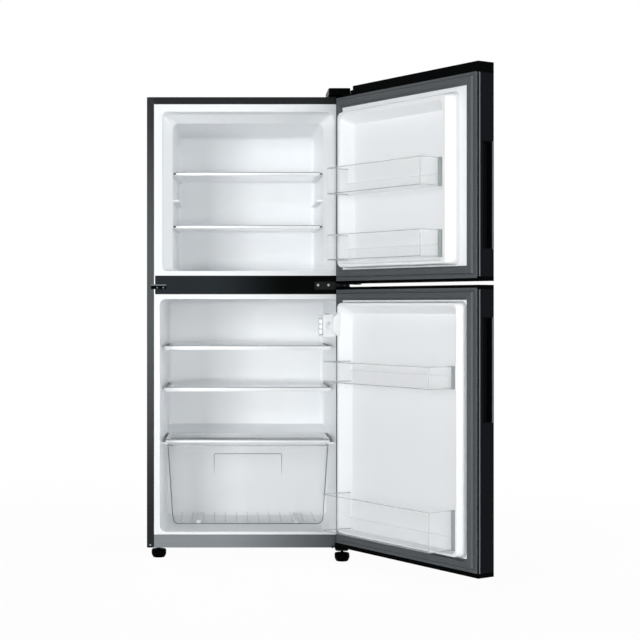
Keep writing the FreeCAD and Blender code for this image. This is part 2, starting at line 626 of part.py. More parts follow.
def crisper_cover():
    """The glass lid over the crisper in its white frame."""
    top = HUMP_TOP
    low = top - d.cover_frame_height
    half, rim = COVER_HALF, d.cover_frame
    frame = block("CoverOuter", both(half), (d.shelf_front, COVER_BACK), (low, top))
    frame = rounded("CoverRounded", frame, d.trim_round, lying("X", "Y", d.shelf_front))
    hole = block("CoverHole", both(half - rim), (d.shelf_front + rim, COVER_BACK - rim),
                 (low - PAST, top + PAST))
    pane = block("CoverPane", both(half - rim), (d.shelf_front + rim, COVER_BACK - rim),
                 (top - d.glass, top))
    node("crisper_cover_frame", "cabinet", without("CoverFrame", frame, hole))
    node("crisper_cover_glass", "cabinet", pane)


def crisper_drawer():
    """The clear crisper drawer: drafted sides, rolled rim and a scooped pull in the front."""
    wall = d.drawer_wall

    def form(name, inset, low, top):
        return funnel(name, "XY", [
            (low, both(DRAWER_LOW_HALF - inset), (d.drawer_front + inset, DRAWER_BACK - inset),
             d.drawer_corner - inset),
            (top, both(DRAWER_TOP_HALF - inset), (d.drawer_front + inset, DRAWER_BACK - inset),
             d.drawer_corner - inset)])

    outside = form("DrawerOutside", 0, DRAWER_LOW, DRAWER_TOP)
    outside = rounded("DrawerOutsideRound", outside, d.drawer_corner - wall,
                      level("Z", DRAWER_LOW))
    inside = form("DrawerInside", wall, DRAWER_LOW + wall, DRAWER_TOP + PAST)
    inside = rounded("DrawerInsideRound", inside, d.drawer_corner - 2 * wall,
                     level("Z", DRAWER_LOW + wall))
    rim = block("DrawerRim", both(DRAWER_TOP_HALF + d.drawer_rim),
                (d.drawer_front - wall, DRAWER_BACK + d.drawer_rim),
                (DRAWER_TOP - d.drawer_rim_height, DRAWER_TOP))
    deep = d.pull_depth
    low, top = PULL_TOP - d.pull_height, PULL_TOP
    half, front = d.pull_half, d.drawer_front
    scoop = outline("PullScoop", "YZ", -half, [(front - PAST, top), (front + deep, top), (front, low),
                                               (front - PAST, low)])
    back = outline("PullBack", "YZ", -(half + wall), [(front + wall / 2, top + wall),
                                                      (front + deep + wall, top + wall),
                                                      (front + deep + wall, top - wall),
                                                      (front + wall / 2, low - wall)])
    pull = drawn_out("Pull", back, "X", 2 * (half + wall))
    scoop_cut = drawn_out("Scoop", scoop, "X", 2 * half)
    tub = without("DrawerTub", joined("DrawerSolid", outside, rim), inside)
    node("crisper_drawer", "cabinet", without("Drawer", joined("DrawerWithPull", tub, pull), scoop_cut))


# ---------------------------------------------------------------- control box and lamp

BOX_TOP = FRIDGE_CEILING - d.box_drop
BOX_LOW = BOX_TOP - d.box_height
BOX_INNER = FRIDGE_HALF - d.box_bulge
BOX_INNER_BACK = FRIDGE_HALF - d.box_back_bulge
BOX_BACK = d.box_front + d.box_depth
KNOB_X = BOX_INNER + d.knob_in
KNOB_HEIGHT = BOX_LOW + d.knob_up
LENS_LOW = BOX_LOW + d.lens_margin_low
LENS_TOP = BOX_TOP - d.lens_margin_top
LENS_FRONT = d.box_front + d.lens_margin_front
LENS_BACK = BOX_BACK - d.lens_margin_back


def control_box():
    """The thermostat and lamp housing on the right wall, its thumb knob and its lamp lens."""
    gap = d.box_wall_gap
    draft = (FRIDGE_HALF - FRIDGE_BACK_HALF) / FRIDGE_DEPTH
    right_front = FRIDGE_HALF - draft * d.box_front - gap
    right_back = FRIDGE_HALF - draft * BOX_BACK - gap
    low, top = BOX_LOW, BOX_TOP
    shell = wedge("BoxShell", (d.box_front, BOX_BACK), (BOX_INNER, right_front, low, top),
                  (BOX_INNER_BACK, right_back, low, top))
    shell = rounded("BoxRounded", shell, d.box_corner, lying("Z", "X", BOX_INNER))
    slope = (BOX_INNER - BOX_INNER_BACK) / (BOX_BACK - d.box_front)
    lens_x = BOX_INNER - slope * (LENS_FRONT - d.box_front)
    lens_far = BOX_INNER - slope * (LENS_BACK - d.box_front)

    def lens_form(name, out, into, low, top, inset):
        return wedge(name, (LENS_FRONT + inset, LENS_BACK - inset),
                     (lens_x - out, lens_x + into, low, top), (lens_far - out, lens_far + into, low, top))

    recess = lens_form("LensRecess", PAST, d.lens_thick, LENS_LOW, LENS_TOP, 0)
    lens = lens_form("Lens", 0, d.lens_thick - d.seat_gap, LENS_LOW + d.seat_gap, LENS_TOP - d.seat_gap,
                     d.seat_gap)
    stem_end = d.box_front + d.knob_stem_length
    hole = rod("KnobHole", "Y", (KNOB_X, KNOB_HEIGHT), d.knob_stem + d.knob_fit,
               (d.box_front - PAST, stem_end + PAST))
    node("control_box", "cabinet", without("BoxDrilled", shell, recess, hole))
    node("lamp_lens", "cabinet", lens)
    knob_back = d.box_front - d.seat_gap
    knob_front = knob_back - d.knob_thick
    wheel = rod("KnobWheel", "Y", (KNOB_X, KNOB_HEIGHT), d.knob, (knob_front, knob_back))
    stem = rod("KnobStem", "Y", (KNOB_X, KNOB_HEIGHT), d.knob_stem, (knob_back - PAST, stem_end))
    mark = block("KnobMark", (KNOB_X - d.mark_half, KNOB_X + d.mark_half),
                 (knob_front - d.mark_rise, knob_front + PAST),
                 (KNOB_HEIGHT + d.mark_inner, KNOB_HEIGHT + d.knob - d.mark_edge))
    node("control_knob", "cabinet", joined("Knob", wheel, stem, mark))


# ---------------------------------------------------------------- hinges

DOOR_SPLIT = d.mullion_low + d.split_up
FREEZER_LOW = DOOR_SPLIT + d.between_doors / 2
FRIDGE_TOP = DOOR_SPLIT - d.between_doors / 2
FREEZER_DOOR_TOP = d.case_top + d.door_rise
COVER_LEFT = PIN_X - d.cover_left_of_pin
MIDDLE_PLATE_LEFT = PIN_X - d.middle_plate_left_of_pin
MIDDLE_PLATE_LOW = d.mullion_low + d.middle_plate_up
MIDDLE_SCREW_FIRST = MIDDLE_PLATE_LEFT + d.first_screw_in
MIDDLE_SCREW_SECOND = MIDDLE_PLATE_LEFT + d.second_screw_in
MIDDLE_SCREW_THIRD = MIDDLE_PLATE_LEFT + d.third_screw_in
SCREW_HEIGHT = MIDDLE_PLATE_LOW + d.screw_up
BRACKET_LEFT = PIN_X - d.bracket_left_of_pin
BRACKET_RIGHT = PIN_X + d.bracket_right_of_pin
BRACKET_LOW = d.fridge_door_low - d.bracket_drop
LEFT_COVER_LEFT = HALF - d.left_cover_inset
LEFT_COVER_RIGHT = LEFT_COVER_LEFT - d.left_cover_length
LEFT_COVER_LOW = d.mullion_low + d.left_cover_up
ARM_LOW = DOOR_SPLIT - d.arm / 2
PIN = (PIN_X, PIN_Y)
MIDDLE_SCREWS = (MIDDLE_SCREW_FIRST, MIDDLE_SCREW_SECOND, MIDDLE_SCREW_THIRD)


def arm(name, low, thick):
    """A narrow arm from the case to the hinge pin, round at its nose."""
    bar = block(name + "Bar", (PIN_X - d.arm_half, PIN_X + d.arm_half), (PIN_Y, 0), (low, low + thick))
    nose = rod(name + "Nose", "Z", PIN, d.arm_half, (low, low + thick))
    return joined(name, bar, nose)


def top_hinge():
    """The plate on top of the case with its arm and the pin that drops into the freezer door."""
    low, top = d.case_top, d.case_top + d.top_plate
    half = d.cover_right_of_pin - d.cover_play
    plate = block("TopPlate", (COVER_LEFT + d.cover_wall + d.cover_play, PIN_X + half),
                  (PIN_Y + d.arm_corner_clear, d.top_plate_back), (low, top))
    reach = block("TopReach", (PIN_X - half, PIN_X + half),
                  (PIN_Y, PIN_Y + d.arm_corner_clear + PAST), (low, top))
    nose = rod("TopNose", "Z", PIN, half, (low, top))
    pin = rod("TopPin", "Z", PIN, d.pin, (FREEZER_DOOR_TOP - d.notch_depth - d.pin_bite, top))
    node("top_hinge", "cabinet", joined("TopHinge", plate, reach, nose, pin))


def top_hinge_cover():
    """The plastic cap over the top hinge, open below."""
    wall, gap = d.cover_wall, d.seat_gap
    low, top = d.case_top + gap, d.case_top + d.cover_height
    left, right = COVER_LEFT, PIN_X + d.cover_right_of_pin + wall
    front, back = PIN_Y - d.cover_front_of_pin, d.cover_rear
    cap = block("CapOuter", (left, right), (front, back), (low, top))
    cap = rounded("CapRounded", cap, d.cover_corner, lying("Z", "Y", front))
    hollow = block("CapInside", (left + wall, right - wall), (front + wall, back - wall),
                   (low - PAST, top - wall))
    hollow = rounded("CapInsideRounded", hollow, d.cover_corner - wall, lying("Z", "Y", front + wall))
    node("top_hinge_cover", "cabinet", without("Cap", cap, hollow))


def middle_hinge():
    """The plate on the mullion, its arm between the doors and the pins into both."""
    low = MIDDLE_PLATE_LOW
    plate = block("MiddlePlate", (MIDDLE_PLATE_LEFT, PIN_X + d.arm_half), (-d.hinge_plate, 0),
                  (low, low + d.middle_plate_height))
    pin = rod("MiddlePin", "Z", PIN, d.pin, (FRIDGE_TOP - d.pin_bite, FREEZER_LOW + d.pin_bite))
    solid = joined("MiddleHinge", plate, arm("MiddleArm", ARM_LOW, d.arm), pin)
    holes = [rod("MiddleHole%d" % index, "Y", (x, SCREW_HEIGHT), d.screw_hole,
                 (-d.hinge_plate - PAST, PAST)) for index, x in enumerate(MIDDLE_SCREWS)]
    node("middle_hinge", "cabinet", without("MiddleDrilled", solid, *holes))


def bottom_hinge():
    """The angle bracket under the fresh-food door; it carries the pin and the right foot's thread."""
    low = BRACKET_LOW
    left, right = BRACKET_LEFT, BRACKET_RIGHT
    gap = d.seat_gap
    shelf_plate = block("BracketShelf", (left, right), (-d.bracket_front, -gap), (low, low + d.arm))
    shelf_plate = rounded("BracketShelfRounded", shelf_plate, d.arm_half,
                          lying("Z", "Y", -d.bracket_front))
    upright = block("BracketUpright", (left, right), (-gap - d.arm, -gap), (low, low + d.bracket_height))
    pin = rod("BottomPin", "Z", PIN, d.pin, (low, d.fridge_door_low + d.pin_bite))
    foot = (HALF - d.right_foot_side, -d.right_foot_front)
    thread = rod("BracketThread", "Z", foot, d.stud + d.stud_fit, (low - PAST, low + d.arm + PAST))
    node("bottom_hinge", "cabinet", without("BottomHinge", joined("Bracket", shelf_plate, upright, pin),
                                            thread))


def left_hinge_cover():
    """The strip that covers the spare hinge holes at the left end of the mullion."""
    low = LEFT_COVER_LOW
    across = (-LEFT_COVER_LEFT, -LEFT_COVER_RIGHT)
    plate = block("LeftCover", across, (-d.hinge_plate, -d.seat_gap), (low, low + d.left_cover_height))
    lip = block("LeftLip", across, (-d.left_cover_lip, -d.seat_gap),
                (low + d.left_cover_height - d.sheet, low + d.left_cover_height))
    node("left_hinge_cover", "cabinet", joined("LeftHingeCover", plate, lip))


def hinge_screws():
    """The screws seen on the hinge plates: three in the middle and two in the left cover."""
    places = [(x, SCREW_HEIGHT) for x in MIDDLE_SCREWS]
    for x in (LEFT_COVER_RIGHT + d.right_screw_inset, LEFT_COVER_LEFT - d.left_screw_inset):
        places.append((-x, LEFT_COVER_LOW + d.left_screw_up))
    face = -d.hinge_plate
    heads = [rod("ScrewHead%d" % index, "Y", place, d.screw_head, (face - d.screw_head_height, face))
             for index, place in enumerate(places)]
    node("hinge_screws", "cabinet", *heads)


# ---------------------------------------------------------------- feet and rollers

ROLLER_SIDE = HALF - d.roller_inset
ROLLER_BACK = d.case_depth - d.roller_from_back


def foot(label, x, y):
    """A levelling foot: a thick disc that narrows to its sole, a collar and a threaded stud, in one piece."""
    r, bevel = d.foot_radius, d.foot_bevel
    body = turned(label + "Body", [
        (0, 0), (d.foot_sole, 0), (r - bevel, d.foot_round), (r, d.foot_waist), (r, d.foot_shoulder),
        (r - bevel, d.foot_height - d.foot_feather), (d.foot_collar, d.foot_height),
        (d.stud, d.foot_height), (d.stud, d.stud_top), (0, d.stud_top)])
    spot(body, x, y, 0)
    node(label, "cabinet", body)


def compressor_base():
    """The cross plate at the back that carries the compressor, with lugs for the two rollers."""
    low = d.case_low
    plate = block("BasePlate", both(INNER_HALF - d.seat_gap), (BAY_FRONT + d.seat_gap, CASE_DEEP),
                  (low, low + d.plate_height))
    lugs, holes = [], []
    out = d.roller_half_width + d.lug_gap
    for side in (-1, 1):
        x = side * ROLLER_SIDE
        for hand, left in (("Inner", x - out - d.lug), ("Outer", x + out)):
            lugs.append(block("Lug%s%d" % (hand, side), (left, left + d.lug),
                              (ROLLER_BACK - d.lug_half, ROLLER_BACK + d.lug_half),
                              (d.lug_low, low)))
        holes.append(rod("LugHole%d" % side, "X", (ROLLER_BACK, d.roller), d.axle + d.axle_fit,
                         (x - out - d.lug - PAST, x + out + d.lug + PAST)))
    node("compressor_base", "cabinet", without("BaseDrilled", joined("BaseWithLugs", plate, *lugs), *holes))


def roller(label, side):
    """A rear roller with its moulded axle stubs."""
    half, r, bevel = d.roller_half_width, d.roller, d.roller_bevel
    reach = half + d.lug_gap + d.lug
    body = turned(label + "Body", [
        (0, -reach), (d.axle, -reach), (d.axle, -half), (r - bevel, -half), (r, -half + bevel),
        (r, half - bevel), (r - bevel, half), (d.axle, half), (d.axle, reach), (0, reach)])
    body.Placement = FreeCAD.Placement(FreeCAD.Vector(), FreeCAD.Rotation(AXES["Y"], 90))
    spot(body, side * ROLLER_SIDE, ROLLER_BACK, r)
    node(label, "cabinet", body)


# ---------------------------------------------------------------- cooling system

SHELL_TOP = d.shell_low + d.shell_height
SHELL_Y = CASE_DEEP - d.shell - d.shell_clear
TERMINAL_TOP = d.terminal_low + d.terminal_height
TERMINAL_LEFT = d.shell_x + d.shell - d.terminal_bite
INLET_X = TERMINAL_LEFT + d.terminal_width - d.inlet - d.inlet_edge
INLET_Z = (d.terminal_low + TERMINAL_TOP) / 2
PIPE_HEIGHT = d.bay_roof - d.pipe_drop
COVER_PLATE_HALF = HALF - d.cover_plate_inset
COIL_HALF = HALF - d.coil_inset
COIL_LOW = d.bay_roof + d.coil_up
EVAPORATOR_HALF = FREEZER_BACK_HALF - d.evaporator_inset


def compressor():
    """The sealed compressor on its foot plate, and its four rubber mounts."""
    x, y = d.shell_x, SHELL_Y
    base_top = d.case_low + d.plate_height
    shell = rod("Shell", "Z", (x, y), d.shell, (d.shell_low, SHELL_TOP))
    shell = rounded("ShellRounded", shell, d.shell_round, lambda edge: edge.BoundBox.ZLength < TOUCH)
    plate = block("FootPlate", (x - d.foot_plate_x, x + d.foot_plate_x),
                  (y - d.foot_plate_y, y + d.foot_plate_y), (d.shell_low, d.shell_low + d.foot_plate))
    node("compressor", "cabinet", joined("Compressor", shell, plate))
    grommets = []
    for across in (-1, 1):
        for along in (-1, 1):
            place = (x + across * (d.foot_plate_x - d.grommet_inset),
                     y + along * (d.foot_plate_y - d.grommet_inset))
            grommets.append(rod("Grommet%d%d" % (across, along), "Z", place, d.grommet,
                                (base_top, d.shell_low)))
    node("compressor_mounts", "cabinet", *grommets)


def terminal_box():
    """The starter box on the compressor's right with the round inlet for the supply cord."""
    front, back = SHELL_Y - d.terminal_depth / 2, SHELL_Y + d.terminal_depth / 2
    box = block("Terminal", (TERMINAL_LEFT, TERMINAL_LEFT + d.terminal_width), (front, back),
                (d.terminal_low, TERMINAL_TOP))
    spigot = rod("Inlet", "Y", (INLET_X, INLET_Z), d.inlet, (back - PAST, back + d.inlet_length))
    bore = rod("InletBore", "Y", (INLET_X, INLET_Z), d.inlet_hole,
               (back - d.inlet_depth, back + d.inlet_length + PAST))
    round_cut = rod("TerminalCut", "Z", (d.shell_x, SHELL_Y), d.shell + d.foam_gap,
                    (d.terminal_low - PAST, TERMINAL_TOP + PAST))
    node("terminal_box", "cabinet", without("TerminalBox", joined("TerminalSolid", box, spigot), round_cut,
                                            bore))


def drip_tray():
    """The tray on the compressor that catches and evaporates defrost water."""
    low, wall = SHELL_TOP, d.tray_wall
    across = (d.shell_x - d.tray_x, d.shell_x + d.tray_x)
    along = (SHELL_Y - d.tray_y, SHELL_Y + d.tray_y)
    tray = block("Tray", across, along, (low, low + d.tray_height))
    inside = block("TrayInside", (across[0] + wall, across[1] - wall), (along[0] + wall, along[1] - wall),
                   (low + wall, low + d.tray_height + PAST))
    node("drip_tray", "cabinet", without("DripTray", tray, inside))


def refrigerant_pipe():
    """The copper discharge line from the compressor to the side wall and up to the roof of the bay."""
    z = (d.shell_low + SHELL_TOP) / 2
    shell_side = d.shell_x - d.shell
    left = shell_side - d.pipe_side
    y = SHELL_Y
    pieces = [
        rod("PipeOut", "X", (y, z), d.pipe, (left, shell_side - d.pipe_gap)),
        rod("PipeUp", "Z", (left, y), d.pipe, (z, PIPE_HEIGHT)),
        rod("PipeIn", "Y", (left, PIPE_HEIGHT), d.pipe, (y - d.pipe_out, y)),
    ]
    for index, place in enumerate(((left, y, z), (left, y, PIPE_HEIGHT))):
        elbow = doc.addObject("Part::Sphere", "Elbow%d" % index)
        bind(elbow, {"Radius": d.pipe})
        spot(elbow, *place)
        pieces.append(elbow)
    node("refrigerant_pipe", "cabinet", joined("Pipe", *pieces))


def compressor_cover():
    """Two slotted sheets that close the compressor bay at the back, with room between them for the cord."""
    half = COVER_PLATE_HALF
    gap = d.cover_plate_gap
    low, top = d.case_low + d.plate_height + gap, d.bay_roof - gap
    face = CASE_DEEP + d.seat_gap
    through = (face - PAST, face + d.cover_plate + PAST)
    columns = int((2 * (half - d.slot_margin) / d.slot_pitch_x).number)
    rows = int(((top - low - 2 * d.slot_margin) / d.slot_pitch_z).number)
    first_x = -(columns - 1) * d.slot_pitch_x / 2 - d.slot_width / 2
    first_z = (low + top) / 2 - (rows - 1) * d.slot_pitch_z / 2 - d.slot_height / 2
    sheets = []
    for hand, left, right in (("Left", -half, INLET_X - d.cord_room), ("Right", INLET_X + d.cord_room, half)):
        slots = []
        for column in range(columns):
            x = first_x + column * d.slot_pitch_x
            beside = min((x - left).number, (right - x - d.slot_width).number)
            if beside < d.cord_edge.number:
                continue
            for row in range(rows):
                z = first_z + row * d.slot_pitch_z
                slots.append(block("Slot%d_%d" % (column, row), (x, x + d.slot_width), through,
                                   (z, z + d.slot_height)))
        sheet_metal = block("RearCover" + hand, (left, right), (face, face + d.cover_plate), (low, top))
        sheets.append(without("RearCover%sSlotted" % hand, sheet_metal, *slots))
    node("compressor_cover", "cabinet", *sheets)


def serpentine(name, y, half, low, pitch, count, radius):
    """Level tube runs joined by upright links at alternate ends."""
    tubes = []
    for index in range(count):
        z = low + index * pitch
        tubes.append(rod("%sRun%d" % (name, index), "X", (y, z), radius, both(half)))
        if index:
            x = half if index % 2 else -half
            tubes.append(rod("%sLink%d" % (name, index), "Z", (x, y), radius, (z - pitch, z)))
    return tubes


def condenser_coil():
    """The condenser tube behind the foam, against the back panel."""
    y = CASE_DEEP - d.back_space / 2
    node("condenser_coil", "cabinet", joined("Condenser", *serpentine(
        "Coil", y, COIL_HALF, COIL_LOW, d.coil_pitch, int(d.coil_runs.number), d.coil)))


def evaporator(label, back, low):
    """An aluminium sheet with a tube serpentine, laid against the outside of a liner's back."""
    face = back + d.liner_wall + d.foam_gap
    count = int(d.evaporator_runs.number)
    border = d.evaporator_border
    top = low + (count - 1) * d.evaporator_pitch
    plate = block(label + "Plate", both(EVAPORATOR_HALF + border), (face, face + d.evaporator_sheet),
                  (low - border, top + border))
    tubes = serpentine(label, face + d.evaporator_sheet + d.evaporator_tube / 2, EVAPORATOR_HALF, low,
                       d.evaporator_pitch, count, d.evaporator_tube)
    node(label, "cabinet", joined(label + "Whole", plate, *tubes))


# ---------------------------------------------------------------- doors

DOOR_REACH = d.case_width - d.pin_inset
FREEZER_FLANGE_LOW = FREEZER_LOW + d.freezer_flange_up
FREEZER_FLANGE_TOP = FREEZER_DOOR_TOP - d.freezer_flange_drop
FREEZER_DAM_LOW = FREEZER_LOW + d.freezer_dam_up
FREEZER_DAM_TOP = FREEZER_DOOR_TOP - d.freezer_dam_drop
FRIDGE_FLANGE_LOW = d.fridge_door_low + d.fridge_flange_up
FRIDGE_FLANGE_TOP = FRIDGE_TOP - d.fridge_flange_drop
FRIDGE_DAM_LOW = d.fridge_door_low + d.fridge_dam_up
FRIDGE_DAM_TOP = FRIDGE_TOP - d.fridge_dam_drop
NUB_TOP = FRIDGE_TOP - d.nub_drop
NUB_LOW = NUB_TOP - d.nub_height
FREEZER_GRIP_LOW = FREEZER_LOW + d.freezer_grip_up
FREEZER_GRIP_TOP = FREEZER_GRIP_LOW + d.freezer_grip_length
FRIDGE_GRIP_TOP = FRIDGE_TOP - d.fridge_grip_drop
FRIDGE_GRIP_LOW = FRIDGE_GRIP_TOP - d.fridge_grip_length
FREEZER_HIGH_BIN_LOW = FREEZER_LOW + d.freezer_high_bin_up
FREEZER_HIGH_BIN_TOP = FREEZER_HIGH_BIN_LOW + d.freezer_high_bin_height
FREEZER_LOW_BIN_LOW = FREEZER_LOW + d.freezer_low_bin_up
FREEZER_LOW_BIN_TOP = FREEZER_LOW_BIN_LOW + d.freezer_low_bin_height
FRIDGE_HIGH_BIN_LOW = d.fridge_door_low + d.fridge_high_bin_up
FRIDGE_HIGH_BIN_TOP = FRIDGE_HIGH_BIN_LOW + d.fridge_high_bin_height
FRIDGE_LOW_BIN_LOW = d.fridge_door_low + d.fridge_low_bin_up
FRIDGE_LOW_BIN_TOP = FRIDGE_LOW_BIN_LOW + d.fridge_low_bin_height
FREEZER_DAM_FREE_EDGE = DOOR_REACH - d.freezer_dam_free_inset
FRIDGE_DAM_FREE_EDGE = DOOR_REACH - d.fridge_dam_free_inset
FREEZER_BIN_FREE = DOOR_REACH - d.freezer_bin_free_inset
FRIDGE_BIN_FREE = DOOR_REACH - d.fridge_bin_free_inset
FREE_X = d.pin_inset - d.case_width
HINGE_X = d.pin_inset
OUT_Y = d.pin_depth - d.door_thick
FREEZER_DOOR = {
    "name": "freezer", "low": FREEZER_LOW, "top": FREEZER_DOOR_TOP, "low_cap": d.small_cap,
    "top_cap": d.top_cap, "flange": (FREEZER_FLANGE_LOW, FREEZER_FLANGE_TOP),
    "dam": (FREEZER_DAM_LOW, FREEZER_DAM_TOP), "dam_free": FREEZER_DAM_FREE_EDGE,
    "dam_hinge": d.freezer_dam_hinge_edge,
    "rise": d.freezer_dam_rise, "slope": d.freezer_dam_slope, "free_slope": d.freezer_dam_free_slope,
    "top_slope": d.freezer_dam_top_slope, "crest": d.freezer_dam_crest,
    "low_crest": d.freezer_dam_low_crest,
    "grip": (FREEZER_GRIP_LOW, FREEZER_GRIP_TOP),
}
FRIDGE_DOOR = {
    "name": "fridge", "low": d.fridge_door_low, "top": FRIDGE_TOP, "low_cap": d.small_cap,
    "top_cap": d.small_cap, "flange": (FRIDGE_FLANGE_LOW, FRIDGE_FLANGE_TOP),
    "dam": (FRIDGE_DAM_LOW, FRIDGE_DAM_TOP), "dam_free": FRIDGE_DAM_FREE_EDGE,
    "dam_hinge": d.fridge_dam_hinge_edge,
    "rise": d.fridge_dam_rise, "slope": d.fridge_dam_slope, "free_slope": d.fridge_dam_free_slope,
    "top_slope": d.dam_low_slope, "crest": d.fridge_dam_crest,
    "low_crest": d.fridge_dam_low_crest,
    "grip": (FRIDGE_GRIP_LOW, FRIDGE_GRIP_TOP),
}


def door_slab(name, inset, up, back, radius):
    """The door's plan shape drawn up between two heights, inset from its sides and outer face."""
    slab = block(name, (FREE_X + inset, HINGE_X - inset), (OUT_Y + inset, back), up)
    return rounded(name + "Rounded", slab, radius, lying("Z", "Y", OUT_Y + inset))


def door_skin(door):
    """The painted steel skin, folded round both sides, with the slot for the grip."""
    label = door["name"] + "_door_skin"
    up = (door["low"] + door["low_cap"], door["top"] - door["top_cap"])
    beyond = (up[0] - PAST, up[1] + PAST)
    outside = door_slab(label + "Outer", 0, up, d.pin_depth, d.door_corner)
    inside = door_slab(label + "Inner", d.skin, beyond, d.pin_depth - d.skin, d.door_corner - d.skin)
    window = block(label + "Window", (FREE_X + d.skin_return, HINGE_X - d.skin_return),
                   (d.pin_depth - d.skin - PAST, d.pin_depth + PAST), beyond)
    slot = block(label + "Slot", (FREE_X - PAST, FREE_X + d.skin + PAST),
                 (OUT_Y + d.grip_front, OUT_Y + d.grip_front + d.grip_width), door["grip"])
    node(label, "door", without(label + "Skin", outside, inside, window, slot))


def grip(door):
    """The plastic finger pocket let into the free edge."""
    label = door["name"] + "_door_grip"
    gap, wall = d.seat_gap, d.grip_wall
    low, top = door["grip"]
    front = OUT_Y + d.grip_front
    back = front + d.grip_width
    outside = block(label + "Outer", (FREE_X, FREE_X + d.grip_depth), (front + gap, back - gap),
                    (low + gap, top - gap))
    pocket = block(label + "Pocket", (FREE_X - PAST, FREE_X + d.grip_depth - wall),
                   (front + gap + wall, back - gap - wall), (low + gap + wall, top - gap - wall))
    node(label, "door", without(label + "Cup", outside, pocket))


def end_caps(door):
    """The plastic caps that close the door's ends, bored for the hinge pins."""
    name = door["name"]
    label = name + "_door_end_caps"
    hole_depth = d.pin_bite + d.pin_end_gap
    low_cap = door_slab(label + "Low", 0, (door["low"], door["low"] + door["low_cap"]), d.pin_depth,
                        d.door_corner)
    low_hole = rod(label + "LowHole", "Z", (0, 0), d.pin + d.pin_fit,
                   (door["low"] - PAST, door["low"] + hole_depth))
    top_cap = door_slab(label + "Top", 0, (door["top"] - door["top_cap"], door["top"]), d.pin_depth,
                        d.door_corner)
    if name == "freezer":
        floor = door["top"] - d.notch_depth
        notch = block(label + "Notch", (-d.notch_width, HINGE_X + PAST),
                      (OUT_Y + d.notch_front_wall, d.pin_depth + PAST), (floor, door["top"] + PAST))
        bush = hinge_bush(label + "Bush", 0, floor)
        notched = without(label + "Notched", top_cap, notch)
        top_cap = joined(label + "TopWithBush", notched, bush)
        top_hole = rod(label + "TopHole", "Z", (0, 0), d.pin + d.pin_fit, (floor - hole_depth, floor + PAST))
    else:
        top_hole = rod(label + "TopHole", "Z", (0, 0), d.pin + d.pin_fit,
                       (door["top"] - hole_depth, door["top"] + PAST))
    node(label, "door", without(label + "LowDrilled", low_cap, low_hole),
         without(label + "TopDrilled", top_cap, top_hole))


def hinge_bush(name, gap, floor):
    """The block under the notch that holds the top hinge pin."""
    inset = d.notch_front_wall
    return block(name, (-d.notch_width - gap, HINGE_X - inset + gap),
                 (OUT_Y + inset - gap, d.pin_depth - d.liner_wall - inset + gap),
                 (floor - d.small_cap - gap, floor + d.skin))


def dam_form(name, door, inset, start, stop):
    """The raised frame's outer shape on the door liner, between two depths; inset shrinks it."""
    low, top = door["dam"]
    base = d.pin_depth
    free, hinge = -door["dam_free"], -door["dam_hinge"]
    share = (stop - base) / door["rise"]
    return funnel(name, "XZ", [
        (start, (free + inset, hinge - inset), (low + inset, top - inset), d.dam_corner),
        (base, (free + inset, hinge - inset), (low + inset, top - inset), d.dam_corner),
        (stop, (free + door["free_slope"] * share + inset, hinge - door["slope"] * share - inset),
         (low + d.dam_low_slope * share + inset, top - door["top_slope"] * share - inset), d.dam_corner)])


def well_form(name, door, grow, start, stop):
    """The hollow inside the raised frame, where the bins hang; grow widens it.

    It starts at the flange's face, or where start says if that is given."""
    low, top = door["dam"]
    base, crest = d.pin_depth, door["crest"]
    free = -door["dam_free"] + door["free_slope"] + crest
    hinge = -door["dam_hinge"] - door["slope"] - crest
    bottom, ceiling = low + d.dam_low_slope + door["low_crest"], top - door["top_slope"] - crest
    slope, side = d.dam_inner_slope, d.dam_free_inner_slope
    spans = []
    for place in (base, stop) if start is None else (start, base, stop):
        share = 1 - (place - base) / door["rise"] if place is stop else length(1)
        spans.append((place, (free + side * share - grow, hinge - slope * share + grow),
                      (bottom + d.dam_well_low_slope * share - grow, ceiling - slope * share + grow),
                      d.dam_corner))
    return funnel(name, "XZ", spans)


def door_liner(door):
    """The white vacuum-formed inner liner: a flange and a raised frame round a shallow well."""
    label = door["name"] + "_door_liner"
    gap, wall = d.seat_gap, d.liner_wall
    base, rise = d.pin_depth, door["rise"]
    crest = base + rise
    plate = block(label + "Plate", (FREE_X + d.skin_return + gap, HINGE_X - d.skin_return - gap),
                  (base - wall, base),
                  (door["low"] + door["low_cap"] + gap, door["top"] - door["top_cap"] - gap))
    frame = dam_form(label + "Dam", door, 0, base - wall, crest)
    well = well_form(label + "Well", door, 0, None, crest + PAST)
    ring = without(label + "Ring", frame, well)
    ring = rounded(label + "RingRounded", ring, d.dam_round, level("Y", crest))
    parts = [plate, ring]
    if door["name"] == "fridge":
        left = -door["dam_hinge"] - door["slope"] - door["crest"] - d.nub_inward
        right = -door["dam_hinge"] - door["slope"] - d.nub_edge
        parts.append(wedge(label + "Nub", (crest - d.dam_round, crest + d.nub_rise),
                           (left, right, NUB_LOW, NUB_TOP),
                           (left + d.nub_taper, right - d.nub_taper, NUB_LOW + d.nub_bevel,
                            NUB_TOP - d.nub_bevel)))
    hollow = without(label + "Hollow", dam_form(label + "DamHollow", door, wall, base - wall - PAST,
                                                crest - wall),
                     well_form(label + "WellHollow", door, wall, base - wall - 2 * PAST, crest + PAST))
    node(label, "door", without(label + "Shell", joined(label + "Solid", *parts), hollow))


